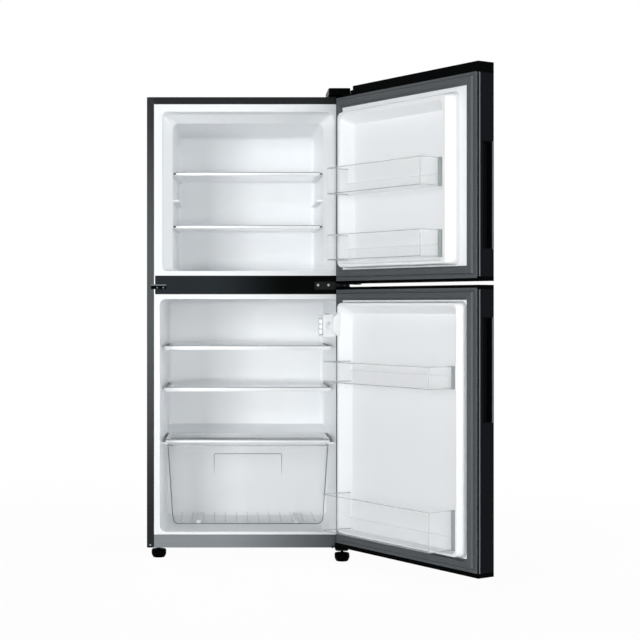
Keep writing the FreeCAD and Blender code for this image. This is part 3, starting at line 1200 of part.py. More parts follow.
def door_foam(door):
    """The rigid foam core, clear of the grip pocket and the pin bush, with the raised frame's filling."""
    label = door["name"] + "_door_foam"
    gap, wall = d.foam_gap, d.liner_wall
    inset = d.skin + gap
    up = (door["low"] + door["low_cap"] + gap, door["top"] - door["top_cap"] - gap)
    base = d.pin_depth
    back = base - wall - gap
    slab = door_slab(label + "Slab", inset, up, back, d.door_corner - inset)
    crest = base + door["rise"]
    filling = without(label + "Filling", dam_form(label + "DamFilling", door, wall + gap, back - PAST,
                                                  crest - wall - gap),
                      well_form(label + "WellFilling", door, wall + gap, back - 2 * PAST, crest + PAST))
    front = OUT_Y + d.grip_front
    tools = [block(label + "Grip", (FREE_X - PAST, FREE_X + d.grip_depth + gap),
                   (front - gap, front + d.grip_width + gap),
                   (door["grip"][0] - gap, door["grip"][1] + gap))]
    if door["name"] == "freezer":
        tools.append(hinge_bush(label + "Bush", gap, door["top"] - d.notch_depth))
    node(label, "door", without(label + "Cut", joined(label + "Whole", slab, filling), *tools))


def gasket(door):
    """The magnetic gasket: a flat base and a bulb, one closed ring round the door's inside."""
    label = door["name"] + "_door_gasket"
    low, top = door["flange"]
    width = d.gasket_width
    base = d.pin_depth
    outside = (FREE_X + d.gasket_outset, HINGE_X - d.gasket_hinge_outset)
    opening = (FREE_X + d.gasket_outset + d.gasket_free_width, -d.gasket_hinge_edge)

    def ring(name, thickness, outer_step, inner_step):
        outer = funnel(name + "Outer", "XZ", [
            (place, (outside[0] + outer_step, outside[1] - outer_step),
             (low - width + outer_step, top + width - outer_step), d.gasket_corner)
            for place in (base, base + thickness)])
        inner = funnel(name + "Inner", "XZ", [
            (place, (opening[0] - inner_step, opening[1] + inner_step),
             (low - inner_step, top + inner_step), d.gasket_inner_corner)
            for place in (base - PAST, base + thickness + PAST)])
        return without(name, outer, inner)

    flat = ring(label + "Flat", d.gasket_base, 0, 0)
    bulb = ring(label + "Bulb", d.gasket_thick, d.bulb_outer_step, d.bulb_inner_step)
    node(label, "door", joined(label + "Ring", flat, bulb))


def door_stop(door):
    """The steel stop plate screwed under the door round the hinge pin."""
    label = door["name"] + "_door_stop"
    low = door["low"]
    half = d.stop_half
    plate = block(label + "Plate", (-d.stop_length, d.stop_tail), both(half), (low - d.stop_thick, low))
    hole = rod(label + "Hole", "Z", (0, 0), d.pin + d.pin_fit, (low - d.stop_thick - PAST, low + PAST))
    node(label, "door", without(label + "Drilled", plate, hole))


def bin_shell(label, plan, low, top):
    """A clear door bin: tapered ends, a low back wall and a hanging lug at each end of the back."""
    free, hinge, hinge_root, root, front = plan
    wall = d.bin_wall

    def form(name, inset, up):
        points = [(-hinge_root - inset, root + inset), (-hinge - inset, front - inset),
                  (-free + inset, front - inset), (-free + inset, root + inset)]
        solid = drawn_out(name, outline(name + "Plan", "XY", up[0], points), "Z", up[1] - up[0])
        return rounded(name + "Rounded", solid, d.bin_corner - inset, lying("Z", "Y", front - inset))

    outside = form(label + "Outer", length(0), (low, top))
    inside = form(label + "Inner", wall, (low + wall, top + PAST))
    window = block(label + "Window", (-free + wall, -hinge_root - wall), (root - PAST, root + wall + PAST),
                   (low + d.bin_back_height, top + PAST))
    lug = block(label + "Lug", (-free - d.bin_lug_out, -free + d.bin_lug_bite),
                (root, root + d.bin_lug_depth), (low, top))
    shell = without(label + "Shell", joined(label + "Solid", outside, lug), inside, window)
    node(label, "door", shell)


def door_bins():
    """Two bins on each door."""
    freezer_plan = (FREEZER_BIN_FREE, d.freezer_bin_hinge, d.freezer_bin_hinge_root, d.freezer_bin_root,
                    d.freezer_bin_front)
    fridge_plan = (FRIDGE_BIN_FREE, d.fridge_bin_hinge, d.fridge_bin_hinge_root, d.fridge_bin_root,
                   d.fridge_bin_front)
    bin_shell("freezer_upper_bin", freezer_plan, FREEZER_HIGH_BIN_LOW, FREEZER_HIGH_BIN_TOP)
    bin_shell("freezer_lower_bin", freezer_plan, FREEZER_LOW_BIN_LOW, FREEZER_LOW_BIN_TOP)
    bin_shell("fridge_upper_bin", fridge_plan, FRIDGE_HIGH_BIN_LOW, FRIDGE_HIGH_BIN_TOP)
    bin_shell("fridge_bottle_bin", fridge_plan, FRIDGE_LOW_BIN_LOW, FRIDGE_LOW_BIN_TOP)


# ---------------------------------------------------------------- assembly

outer_case()
back_panel()
base_pan()
front_channel("mullion_plate", d.mullion_low, MULLION_TOP)
front_channel("bottom_rail", d.case_low, d.rail_top)
freezer_liner()
fridge_liner()
case_foam()
shelf("freezer_upper_shelf", FREEZER_GLASS_HALF, FREEZER_TRIM_HALF, d.freezer_trim_height, FREEZER_SHELF_HIGH,
      FREEZER_SHELF_BACK)
shelf("freezer_lower_shelf", FREEZER_GLASS_HALF, FREEZER_TRIM_HALF, d.freezer_trim_height, FREEZER_SHELF_LOW,
      FREEZER_SHELF_BACK)
shelf("fridge_upper_shelf", FRIDGE_GLASS_HALF, FRIDGE_TRIM_HALF, d.fridge_trim_height, FRIDGE_SHELF_HIGH,
      FRIDGE_SHELF_BACK)
shelf("fridge_lower_shelf", FRIDGE_GLASS_HALF, FRIDGE_TRIM_HALF, d.fridge_trim_height, FRIDGE_SHELF_LOW,
      FRIDGE_SHELF_BACK)
crisper_cover()
crisper_drawer()
control_box()
top_hinge()
top_hinge_cover()
middle_hinge()
bottom_hinge()
left_hinge_cover()
hinge_screws()
foot("front_left_foot", -ORIGIN_X, d.foot_front)
foot("front_right_foot", HALF - d.right_foot_side, -d.right_foot_front)
compressor_base()
roller("rear_left_roller", -1)
roller("rear_right_roller", 1)
compressor()
terminal_box()
drip_tray()
refrigerant_pipe()
compressor_cover()
condenser_coil()
evaporator("freezer_evaporator", FREEZER_DEPTH, FREEZER_FLOOR + d.evaporator_margin)
evaporator("fridge_evaporator", FRIDGE_DEPTH, HUMP_TOP + d.hump_rise + d.evaporator_margin)
for one_door in (FREEZER_DOOR, FRIDGE_DOOR):
    door_skin(one_door)
    grip(one_door)
    end_caps(one_door)
    door_liner(one_door)
    door_foam(one_door)
    gasket(one_door)
    door_stop(one_door)
door_bins()

doc.recompute()
for thing in doc.Objects:
    if "Invalid" in thing.State or "Error" in thing.State:
        raise RuntimeError("failed object: %s %s" % (thing.Label, thing.State))
for group in nodes:
    shape = group.Shape
    if shape.isNull() or not shape.isValid() or not shape.Solids:
        raise RuntimeError("bad shape: " + group.Label)

os.makedirs("parts", exist_ok=True)
for group in nodes:
    group.Shape.exportStep(os.path.join("parts", group.Label + ".step"))
print(len(nodes), "nodes written")
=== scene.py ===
import json
import math

import bmesh
import bpy
from mathutils import Matrix, Vector


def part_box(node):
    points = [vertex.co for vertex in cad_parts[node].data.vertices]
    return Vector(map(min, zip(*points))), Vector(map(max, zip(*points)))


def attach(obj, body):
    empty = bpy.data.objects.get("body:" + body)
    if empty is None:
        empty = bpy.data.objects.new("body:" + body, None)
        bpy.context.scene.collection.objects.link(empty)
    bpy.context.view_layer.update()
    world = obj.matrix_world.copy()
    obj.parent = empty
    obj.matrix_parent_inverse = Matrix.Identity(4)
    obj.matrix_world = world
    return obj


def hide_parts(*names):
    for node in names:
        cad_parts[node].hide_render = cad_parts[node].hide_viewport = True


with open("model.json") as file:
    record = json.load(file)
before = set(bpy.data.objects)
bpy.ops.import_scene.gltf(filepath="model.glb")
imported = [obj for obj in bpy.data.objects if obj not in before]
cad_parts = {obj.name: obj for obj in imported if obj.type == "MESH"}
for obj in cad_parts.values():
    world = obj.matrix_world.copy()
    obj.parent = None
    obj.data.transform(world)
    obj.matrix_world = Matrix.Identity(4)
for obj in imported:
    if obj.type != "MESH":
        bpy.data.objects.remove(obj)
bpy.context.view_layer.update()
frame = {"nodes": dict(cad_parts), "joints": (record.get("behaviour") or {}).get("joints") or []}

# ---------------------------------------------------------------- outer case
# The outer case is one sheet of steel, folded over the top and sides and pre-painted a graphite grey.
# Its front edge is folded in to make the strip round the two compartments. The strip is mitred at the
# two top corners, where the fold leaves a fine seam; its upright sides are painted paler at middle height,
# a painted reflection of the lamps.

mm = 0.001
case_low, case_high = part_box("outer_case")
middle_x = (case_low.x + case_high.x) / 2
half_width = case_high.x - middle_x
front_y = case_low.y
strip_width = 21 * mm
strip_gauge = 0.4 * mm
seam_half = 0.35 * mm
# Height of the painted reflection on the strip's upright sides.
sheen_height = 0.78


def colour(code):
    """A paint chip's code as the light that it gives back."""
    parts = [int(code[place:place + 2], 16) / 255 for place in (1, 3, 5)]
    return [part / 12.92 if part <= 0.04045 else ((part + 0.055) / 1.055) ** 2.4 for part in parts] + [1.0]


class Shade:
    """The output of a shader node; arithmetic on it adds Math nodes."""

    def __init__(self, finish, socket):
        self.finish = finish
        self.socket = socket

    def worked(self, operation, *values):
        return self.finish.node("ShaderNodeMath", {"operation": operation}, dict(enumerate(values)))

    def __add__(self, other):
        return self.worked("ADD", self, other)

    def __radd__(self, other):
        return self.worked("ADD", other, self)

    def __sub__(self, other):
        return self.worked("SUBTRACT", self, other)

    def __rsub__(self, other):
        return self.worked("SUBTRACT", other, self)

    def __mul__(self, other):
        return self.worked("MULTIPLY", self, other)

    def __rmul__(self, other):
        return self.worked("MULTIPLY", other, self)

    def __abs__(self):
        return self.worked("ABSOLUTE", self)

    def __lt__(self, other):
        return self.worked("LESS_THAN", self, other)

    def __gt__(self, other):
        return self.worked("GREATER_THAN", self, other)


class Finish:
    """A material made of shader nodes, laid out in the object's own coordinates."""

    def __init__(self, name, holder=None):
        self.material = holder or bpy.data.materials.new(name)
        self.material.use_nodes = True
        self.tree = self.material.node_tree
        self.tree.nodes.clear()
        self.place = self.node("ShaderNodeTexCoord", output="Object")

    def node(self, kind, settings=None, inputs=None, output=0):
        """A node of any kind: its settings first, then its sockets' values or links."""
        made = self.tree.nodes.new(kind)
        for name, value in (settings or {}).items():
            setattr(made, name, value)
        for key, value in (inputs or {}).items():
            if isinstance(value, Shade):
                self.tree.links.new(value.socket, made.inputs[key])
            else:
                made.inputs[key].default_value = value
        return None if output is None else Shade(self, made.outputs[output])

    def mix(self, first, second, share):
        """One colour blended into another."""
        return self.node("ShaderNodeMix", {"data_type": "RGBA"}, {0: share, 6: first, 7: second}, 2)

    def noise(self, scale, detail=2.0, stretch=None):
        """Cloudy noise, a value about 0.5; stretch scales the three axes apart."""
        place = self.place
        if stretch:
            place = self.node("ShaderNodeMapping", {}, {"Vector": place, "Scale": stretch})
        return self.node("ShaderNodeTexNoise", {}, {"Vector": place, "Scale": scale, "Detail": detail})

    def axis(self, name):
        """One coordinate, in metres."""
        return self.node("ShaderNodeSeparateXYZ", {}, {0: self.place}, name)

    def surface(self, sockets, relief=None, depth=0.1 * mm, strength=1.0):
        """The finished surface; relief is a height from 0 to 1 that stands for depth."""
        if relief is not None:
            sockets["Normal"] = self.node("ShaderNodeBump", {}, {
                "Height": relief, "Distance": depth, "Strength": strength})
        body = self.node("ShaderNodeBsdfPrincipled", {}, sockets)
        self.node("ShaderNodeOutputMaterial", {}, {"Surface": body}, None)
        return self.material


def dress(material, *names):
    """Puts a material on pieces of the frame."""
    for name in names:
        for slot in frame["nodes"][name].material_slots:
            slot.material = material


paint = Finish("graphite_paint")
peel = paint.noise(900)
cloud = paint.noise(3.0)
across = abs(paint.axis("X") - middle_x)
corner_line = abs(half_width - across - (case_high.z - paint.axis("Z")))
on_strip = paint.axis("Y") < front_y + strip_gauge
near_top = paint.axis("Z") > case_high.z - strip_width
seam = (corner_line < seam_half) * on_strip * near_top
# Painted reflection: the strip's upright sides are painted paler about middle height.
off_sheen_height = abs(paint.axis("Z") - sheen_height)
sheen_by_height = paint.node("ShaderNodeMapRange", {"interpolation_type": "SMOOTHSTEP"}, {
    "Value": off_sheen_height, "From Min": 0.05, "From Max": 0.7, "To Min": 1.0, "To Max": 0.0})
painted_sheen = sheen_by_height * on_strip * (across > half_width - strip_width)
fresh_paint = paint.mix(colour("#131617"), colour("#191c1d"), cloud)
graphite = paint.surface({
    "Base Color": paint.mix(paint.mix(fresh_paint, colour("#4b4f4f"), painted_sheen), colour("#5c6163"), seam),
    "Specular IOR Level": 0.12, "Roughness": 0.5 + 0.06 * peel}, peel - seam, 0.03 * mm)
dress(graphite, "outer_case")

# ---------------------------------------------------------------- back and base
# The back panel, the base pan, the compressor's cross plate and the slotted rear cover are plain
# galvanised steel. The zinc shows as pale crystals of slightly different greys.

zinc = Finish("galvanised_steel")
crystal = zinc.node("ShaderNodeTexVoronoi", {}, {"Vector": zinc.place, "Scale": 160.0}, "Color")
grain = zinc.node("ShaderNodeSeparateColor", {}, {0: crystal})
brushed = zinc.noise(60, stretch=(1, 1, 12))
galvanised = zinc.surface({
    "Base Color": zinc.mix(colour("#8f9496"), colour("#b3b8ba"), grain),
    "Metallic": 0.75, "Roughness": 0.36 + 0.14 * grain}, brushed, 0.02 * mm)
dress(galvanised, "back_panel", "base_pan", "compressor_base", "compressor_cover")

# ---------------------------------------------------------------- strips across the front
# The mullion plate between the two compartments is folded from coated steel. Its grey towards its
# other end is a painted reflection of the lamps, fading to black painted shade at the hinges. The rail under
# the lower compartment has a satin grey coat, darkened by painted shade towards the hinges. Both clip behind
# the case's strip.

strip = Finish("strip_coat")
strip_peel = strip.noise(1100)
strip_cloud = strip.noise(5.0, stretch=(0.4, 1, 2))
# Painted reflection and shade: grey away from the hinges for the lamps' reflection, black at the hinges where
# the open doors shade the plate.
shade_towards_hinges = strip.node("ShaderNodeMapRange", {"interpolation_type": "SMOOTHSTEP"}, {
    "Value": strip.axis("X"), "From Min": middle_x - 0.12, "From Max": middle_x + 0.12})
painted_reflection_coat = strip.mix(colour("#23282b"), colour("#282d30"), strip_cloud)
mullion_coat = strip.surface({
    "Base Color": strip.mix(painted_reflection_coat, colour("#020303"), shade_towards_hinges),
    "Specular IOR Level": 0.01, "Roughness": 0.2 + 0.05 * strip_peel}, strip_peel, 0.02 * mm)
dress(mullion_coat, "mullion_plate")

rail = Finish("rail_coat")
rail_peel = rail.noise(1100)
rail_grain = rail.noise(40, stretch=(0.15, 1, 8))
# Painted shade: the rail darkens towards the hinges, where the open door shades it.
rail_shade_towards_hinges = rail.node("ShaderNodeMapRange", {"interpolation_type": "SMOOTHSTEP"}, {
    "Value": rail.axis("X"), "From Min": middle_x - 0.1, "From Max": case_high.x})
satin_coat = rail.mix(colour("#666b6e"), colour("#71767a"), rail_grain)
rail_coat = rail.surface({
    "Base Color": rail.mix(satin_coat, colour("#3c4043"), rail_shade_towards_hinges),
    "Metallic": 0.5, "Roughness": 0.40 + 0.08 * rail_peel}, rail_peel, 0.02 * mm)
dress(rail_coat, "bottom_rail")

# ---------------------------------------------------------------- liners
# Each compartment is one sheet of white ABS, vacuum-formed over a mould and foamed in place, so its
# corners are round and its gloss is soft. The doors' inner liners are formed from the same sheet. The
# flange that clips behind the case's strip is painted a little greyer than the rest: painted shade that
# tones down the strong light falling on it.

flange_depth = 4 * mm
flange_end = case_high.x - 28 * mm
liner = Finish("white_liner")
liner_ripple = liner.noise(14, 3.0)
liner_grain = liner.noise(1500)
at_front = (liner.axis("Y") < front_y + flange_depth) * (liner.axis("Y") > front_y)
# Painted shade: the front flange is given a greyer white to hold back the strong light that falls on it.
painted_shade_flange = at_front * (liner.axis("X") < flange_end)
formed_sheet = liner.mix(colour("#f7fafc"), colour("#fafcfe"), liner_ripple)
white_liner = liner.surface({
    "Base Color": liner.mix(formed_sheet, colour("#e8ebed"), painted_shade_flange), "Specular IOR Level": 0.3,
    "Roughness": 0.26 + 0.05 * liner_grain, "Coat Weight": 0.08, "Coat Roughness": 0.12},
    0.7 * liner_ripple + 0.3 * liner_grain, 0.25 * mm, 0.5)
dress(white_liner, "freezer_liner", "fridge_liner", "freezer_door_liner", "fridge_door_liner")

# ---------------------------------------------------------------- insulation
# Rigid polyurethane foam fills the space between the case and the liners and the inside of each door.
# It is poured as a liquid, rises in place and sets cream-coloured, with fine closed cells.

cells = Finish("insulation_foam")
cell = cells.node("ShaderNodeTexVoronoi", {}, {"Vector": cells.place, "Scale": 900.0}, "Distance")
foam = cells.surface({"Base Color": cells.mix(colour("#d8c98f"), colour("#efe5ba"), cell), "Roughness": 0.9},
                     cell, 0.4 * mm)
dress(foam, "case_foam", "freezer_door_foam", "fridge_door_foam")

# ---------------------------------------------------------------- shelves
# Four shelves of toughened glass. A white extruded trim is pressed on each front edge and a low white
# bar on the back edge. Each sheet slides on ledges moulded into the liner: the freezer's two have grey
# pegs at their front corners, and the fridge's two have their ground side edges showing.

def mesh_piece(name, points, faces, materials, body, slot, kinds=None, fold=35):
    """A new piece from its corners and faces, shaded smooth apart from its folds."""
    mesh = bpy.data.meshes.new(name)
    mesh.from_pydata([tuple(point) for point in points], [], faces)
    for material in materials:
        mesh.materials.append(material)
    if kinds:
        mesh.polygons.foreach_set("material_index", kinds)
    shaping = bmesh.new()
    shaping.from_mesh(mesh)
    bmesh.ops.remove_doubles(shaping, verts=shaping.verts, dist=0.001 * mm)
    bmesh.ops.recalc_face_normals(shaping, faces=shaping.faces)
    shaping.to_mesh(mesh)
    shaping.free()
    mesh.shade_smooth()
    mesh.set_sharp_from_angle(angle=math.radians(fold))
    piece = bpy.data.objects.new(name, mesh)
    bpy.context.scene.collection.objects.link(piece)
    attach(piece, body)
    return piece


def skin_over(rings, closed_along=False, ends=False):
    """Points and faces of a surface stretched over closed rings of equal count, with flat ends if asked."""
    count = len(rings[0])
    points = [point for ring in rings for point in ring]
    faces = []
    for along in range(len(rings) if closed_along else len(rings) - 1):
        here, there = along * count, (along + 1) % len(rings) * count
        for k in range(count):
            n = (k + 1) % count
            faces.append((here + k, here + n, there + n, there + k))
    if ends:
        last = (len(rings) - 1) * count
        faces += [tuple(reversed(range(count))), tuple(range(last, last + count))]
    return points, faces


def gathered(parts):
    """Several surfaces as one: parts are (points, faces, kind)."""
    points, faces, kinds = [], [], []
    for more_points, more_faces, kind in parts:
        base = len(points)
        points += more_points
        faces += [tuple(base + k for k in face) for face in more_faces]
        kinds += [kind] * len(more_faces)
    return points, faces, kinds


def bar_along_x(profile, left, right):
    """A profile of (y, z) corners drawn out between two places."""
    return skin_over([[Vector((x, y, z)) for y, z in profile] for x in (left, right)], ends=True)


def box_form(low, high, edge):
    """A block with its upright and level edges all eased by a small bevel."""
    rings = []
    for z, draw in ((low[2], edge), (low[2] + edge, 0), (high[2] - edge, 0), (high[2], edge)):
        x0, x1, y0, y1 = low[0] + draw, high[0] - draw, low[1] + draw, high[1] - draw
        rings.append([Vector((x, y, z)) for x, y in (
            (x0 + edge, y0), (x1 - edge, y0), (x1, y0 + edge), (x1, y1 - edge),
            (x1 - edge, y1), (x0 + edge, y1), (x0, y1 - edge), (x0, y0 + edge))])
    return skin_over(rings, ends=True)


def rod_along(path, radii, sides=10):
    """A round rod that follows a path, with a radius at each point."""
    rings = []
    for k, place in enumerate(path):
        ahead = path[min(k + 1, len(path) - 1)] - path[max(k - 1, 0)]
        ahead.normalize()
        level = Vector((0, 0, 1)) if abs(ahead.z) < 0.8 else Vector((0, 1, 0))
        aside = ahead.cross(level).normalized()
        up = aside.cross(ahead)
        rings.append([place + radii[k] * (math.cos(turn) * aside + math.sin(turn) * up)
                      for turn in (2 * math.pi * step / sides for step in range(sides))])
    return skin_over(rings, ends=True)


trim = Finish("white_trim")
trim_grain = trim.noise(1200)
white_trim = trim.surface({
    "Base Color": trim.mix(colour("#f3f5f7"), colour("#f8f9fa"), trim.noise(30)),
    "Roughness": 0.3 + 0.06 * trim_grain}, trim_grain, 0.03 * mm)

pane = Finish("shelf_glass")
edge_on = pane.node("ShaderNodeLayerWeight", {}, {"Blend": 0.35}, "Facing")
pane_ripple = pane.noise(8)
shelf_glass = pane.surface({
    "Base Color": pane.mix(colour("#eef4f5"), colour("#cfd9db"), edge_on),
    "Specular IOR Level": 0.3, "Roughness": 0.04 + 0.02 * pane_ripple, "IOR": 1.5,
    "Alpha": 0.04 + 0.08 * edge_on})

ground_edge = Finish("ground_glass_edge")
frost = ground_edge.noise(600)
glass_edge = ground_edge.surface({
    "Base Color": ground_edge.mix(colour("#8f979b"), colour("#a0a8ab"), frost),
    "Roughness": 0.35 + 0.1 * frost, "Alpha": 0.85}, frost, 0.03 * mm)

dark_edge = Finish("seal_grey")
seal_grain = dark_edge.noise(600)
seal_grey = dark_edge.surface({
    "Base Color": dark_edge.mix(colour("#565c5f"), colour("#666d70"), seal_grain),
    "Roughness": 0.4 + 0.1 * seal_grain}, seal_grain, 0.03 * mm)

peg_length = 7.5 * mm
end_clip = 3 * mm
glass_nose = 2.4 * mm
trim_round = 1.2 * mm
trim_foot = 1.6 * mm
trim_wall = 2.4 * mm
trim_roof = 0.6 * mm


def shelf(name, pegged):
    """One shelf's front trim, back bar and end pegs; the glass's ground edge stands above the trim."""
    low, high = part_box(name + "_trim")
    glass_low, glass_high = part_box(name + "_glass")
    front, deep = low.y, glass_low.y - low.y
    lip_top, top = glass_high.z - glass_nose, glass_high.z
    end = peg_length if pegged else end_clip
    left, right = low.x + end, high.x - end
    r = trim_round
    lip = [(front + r, low.z), (front + deep, low.z), (front + deep, low.z + trim_foot),
           (front + trim_wall, low.z + trim_foot), (front + trim_wall, lip_top - trim_roof),
           (front + deep, lip_top - trim_roof), (front + deep, lip_top), (front + 0.4 * mm, lip_top),
           (front, lip_top - 0.5 * mm), (front, low.z + r), (front + 0.35 * r, low.z + 0.35 * r)]
    nose = [(front + 1.2 * mm, lip_top), (front + deep, lip_top), (front + deep, top),
            (front + 1.8 * mm, top), (front + 1.2 * mm, top - 0.6 * mm)]
    back = [(glass_high.y, glass_low.z), (high.y, glass_low.z), (high.y, high.z - r), (high.y - r, high.z),
            (glass_high.y + r, high.z), (glass_high.y, high.z - r)]
    parts = [(*bar_along_x(lip, left, right), 0), (*bar_along_x(nose, left, right), 1),
             (*bar_along_x(back, glass_low.x, glass_high.x), 0)]
    for wall, sign in ((low.x, 1), (high.x, -1)):
        if pegged:
            peg = [Vector((wall + sign * along * mm, front + 5 * mm, top - 5 * mm))
                   for along in (0.4, 1, 6.8, 7.4)]
            parts.append((*rod_along(peg, [2.2 * mm, 2.9 * mm, 2.9 * mm, 2.2 * mm]), 2))
        else:
            edge = glass_low.x if sign > 0 else glass_high.x
            inner, outer = sorted((edge, edge - sign * 1.5 * mm))
            parts.append((*box_form((inner, front + 2 * mm, glass_low.z), (outer, glass_high.y, top),
                                    0.3 * mm), 2))
            inner, outer = sorted((wall + sign * 0.5 * mm, wall + sign * end_clip))
            parts.append((*box_form((inner, front + 1 * mm, low.z + 1 * mm),
                                    (outer, front + deep, top - 1 * mm), 0.8 * mm), 0))
    points, faces, kinds = gathered(parts)
    piece = mesh_piece(name + "_edging", points, faces, [white_trim, glass_edge, seal_grey], name,
                       "trim_white", kinds)
    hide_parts(name + "_trim")
    dress(shelf_glass, name + "_glass")


shelf("freezer_upper_shelf", pegged=True)
shelf("freezer_lower_shelf", pegged=True)
shelf("fridge_upper_shelf", pegged=False)
shelf("fridge_lower_shelf", pegged=False)

# ---------------------------------------------------------------- crisper lid
# A sheet of toughened glass lies in a shallow white frame over the drawer. The frame is one moulding
# with a pale line along its front step, and soft grey seals run along its two sides and its back.

lid_low, lid_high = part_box("crisper_cover_frame")
sheet_low, sheet_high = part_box("crisper_cover_glass")
seal = 1.8 * mm
lid_step = 2 * mm
bar_left, bar_right = lid_low.x + seal, lid_high.x - seal
lid_parts = [
    (*box_form((bar_left, lid_low.y, lid_low.z), (bar_right, sheet_low.y, lid_high.z - lid_step), 1 * mm), 0),
    (*box_form((bar_left, lid_low.y + 1 * mm, lid_high.z - lid_step),
               (bar_right, sheet_low.y, lid_high.z), 0.4 * mm), 1),
    (*box_form((bar_left, sheet_high.y, lid_low.z), (bar_right, lid_high.y - seal, lid_high.z), 0.8 * mm), 0),
    (*box_form((bar_left, lid_high.y - seal, lid_low.z), (bar_right, lid_high.y, lid_high.z), 0.4 * mm), 2)]
for outer, inner, seal_in in ((lid_low.x, sheet_low.x, bar_left), (lid_high.x, sheet_high.x, bar_right)):
    left, right = sorted((seal_in, inner))
    lid_parts.append((*box_form((left, sheet_low.y, lid_low.z), (right, sheet_high.y, lid_high.z),
                                0.6 * mm), 0))
    left, right = sorted((outer, seal_in))
    lid_parts.append((*box_form((left, lid_low.y + lid_step, lid_low.z + lid_step),
                                (right, lid_high.y, lid_high.z), 0.3 * mm), 2))
points, faces, kinds = gathered(lid_parts)
lid = mesh_piece("crisper_lid_frame", points, faces, [white_trim, glass_edge, seal_grey],
                 "crisper_cover", "trim_white", kinds)
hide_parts("crisper_cover_frame")
dress(shelf_glass, "crisper_cover_glass")

# ---------------------------------------------------------------- crisper drawer
# The drawer is one injection moulding in clear polystyrene with a scooped pull. Where its walls meet
# the light runs along the plastic, so those edges look darker, and low ribs keep food off its floor.
# Its walls are drawn as one thin skin, and its rim carries the thickness that shows.

hazed = Finish("hazed_plastic")
turned_off = hazed.node("ShaderNodeLayerWeight", {}, {"Blend": 0.30}, "Facing")
haze = hazed.noise(7, 3.0)
drawer_plastic = hazed.surface({
    "Base Color": hazed.mix(colour("#fdfeff"), colour("#eef1f3"), turned_off),
    "Specular IOR Level": 0.35, "Roughness": 0.1 + 0.06 * haze, "IOR": 1.5,
    "Alpha": 0.08 + 0.05 * haze + 0.12 * turned_off}, haze, 0.15 * mm)

thick = Finish("clear_plastic_edge")
thick_grain = thick.noise(40)
plastic_edge = thick.surface({
    "Base Color": thick.mix(colour("#aeb5b8"), colour("#c0c6c9"), thick_grain),
    "Roughness": 0.12 + 0.06 * thick_grain, "Alpha": 0.5}, thick_grain, 0.05 * mm)

drawer_low, drawer_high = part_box("crisper_drawer")
rim_width = 4 * mm
flare = 15.5 * mm
corner_round = 20 * mm
floor_round = 17.5 * mm
face_y = drawer_low.y + 2.5 * mm
back_y = drawer_high.y - rim_width
rim_z = drawer_high.z - 5 * mm
drawer_middle = (drawer_low.x + drawer_high.x) / 2
top_half = (drawer_high.x - drawer_low.x) / 2 - rim_width
low_half = top_half - flare
pull_half, pull_deep, pull_drop = 102 * mm, 14 * mm, 62 * mm
pull_top, pull_low = drawer_high.z - 27.5 * mm, drawer_high.z - 93.5 * mm


def open_tub(rings, openings=()):
    """A moulding drawn as one thin skin: a floor, walls through the rings, and some panels left out."""
    points, faces = skin_over(rings)
    count = len(rings[0])
    kept = [face for k, face in enumerate(faces) if (k // count, k % count) not in openings]
    return points, kept + [tuple(reversed(range(count)))]


def drawer_plan(half, front, back, corner, z):
    """The drawer seen from above at one height; its first panel is as wide as the pull."""
    ring = [Vector((drawer_middle - pull_half, front, z)), Vector((drawer_middle + pull_half, front, z))]
    for x, y, start in ((1, front, -90), (1, back, 0), (-1, back, 90), (-1, front, 180)):
        for step in range(6):
            turn = math.radians(start + 90 * step / 5)
            middle = y + corner if y == front else y - corner
            ring.append(Vector((drawer_middle + x * (half - corner) + corner * math.cos(turn),
                                middle + corner * math.sin(turn), z)))
    return ring


drawer_rings = []
for step in range(7):
    turn = math.radians(90 * step / 6)
    draw = floor_round * (1 - math.sin(turn))
    drawer_rings.append(drawer_plan(low_half - draw, face_y + draw, back_y - draw, corner_round - draw,
                                    drawer_low.z + floor_round * (1 - math.cos(turn))))
for z in (pull_low, pull_top, drawer_high.z):
    share = (z - drawer_low.z) / (drawer_high.z - drawer_low.z)
    drawer_rings.append(drawer_plan(low_half + share * flare, face_y, back_y, corner_round, z))
pull_panel = (7, 0)
tub_points, tub_faces = open_tub(drawer_rings, {pull_panel})
scoop_points = [Vector((drawer_middle + x * pull_half, y, z)) for x in (-1, 1) for y, z in (
    (face_y, pull_low), (face_y + pull_deep, pull_top), (face_y, pull_top))]
scoop_faces = [(0, 3, 4, 1), (1, 4, 5, 2), (0, 1, 2), (3, 5, 4)]
inner = drawer_plan(top_half, face_y, back_y, corner_round, rim_z)
outer = drawer_plan(top_half + rim_width, drawer_low.y, drawer_high.y, corner_round + rim_width, rim_z)
up = Vector((0, 0, drawer_high.z - rim_z))
rim_rings = [[near, far, far + up, near + up] for near, far in zip(inner, outer)]
points, faces, kinds = gathered([(tub_points, tub_faces, 0), (scoop_points, scoop_faces, 0),
                                 (*skin_over(rim_rings, closed_along=True), 1)])
tub = mesh_piece("crisper_drawer_tub", points, faces, [drawer_plastic, plastic_edge], "crisper_drawer",
                 "clear_plastic", kinds, fold=30)
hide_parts("crisper_drawer")


def front_line():
    """The drawer front's outline, from its left top corner down and round to its right one."""
    corner = 17 * mm
    half = [(top_half, rim_z), (low_half + 1.5 * mm, drawer_low.z + corner + 6 * mm)]
    for step in range(9):
        turn = math.radians(90 * step / 8)
        half.append((low_half - corner + corner * math.cos(turn),
                     drawer_low.z + corner - corner * math.sin(turn)))
    left = [(drawer_middle - x, z) for x, z in half]
    right = [(drawer_middle + x, z) for x, z in reversed(half)]
    return [Vector((x, face_y - 0.3 * mm, z)) for x, z in left + right]


corner_tone = Finish("drawer_corner_line")
corner_grain = corner_tone.noise(600)
outline_grey = corner_tone.surface({
    "Base Color": corner_tone.mix(colour("#6b7478"), colour("#7d868a"), corner_grain),
    "Roughness": 0.3 + 0.1 * corner_grain, "Alpha": 0.85}, corner_grain, 0.03 * mm)

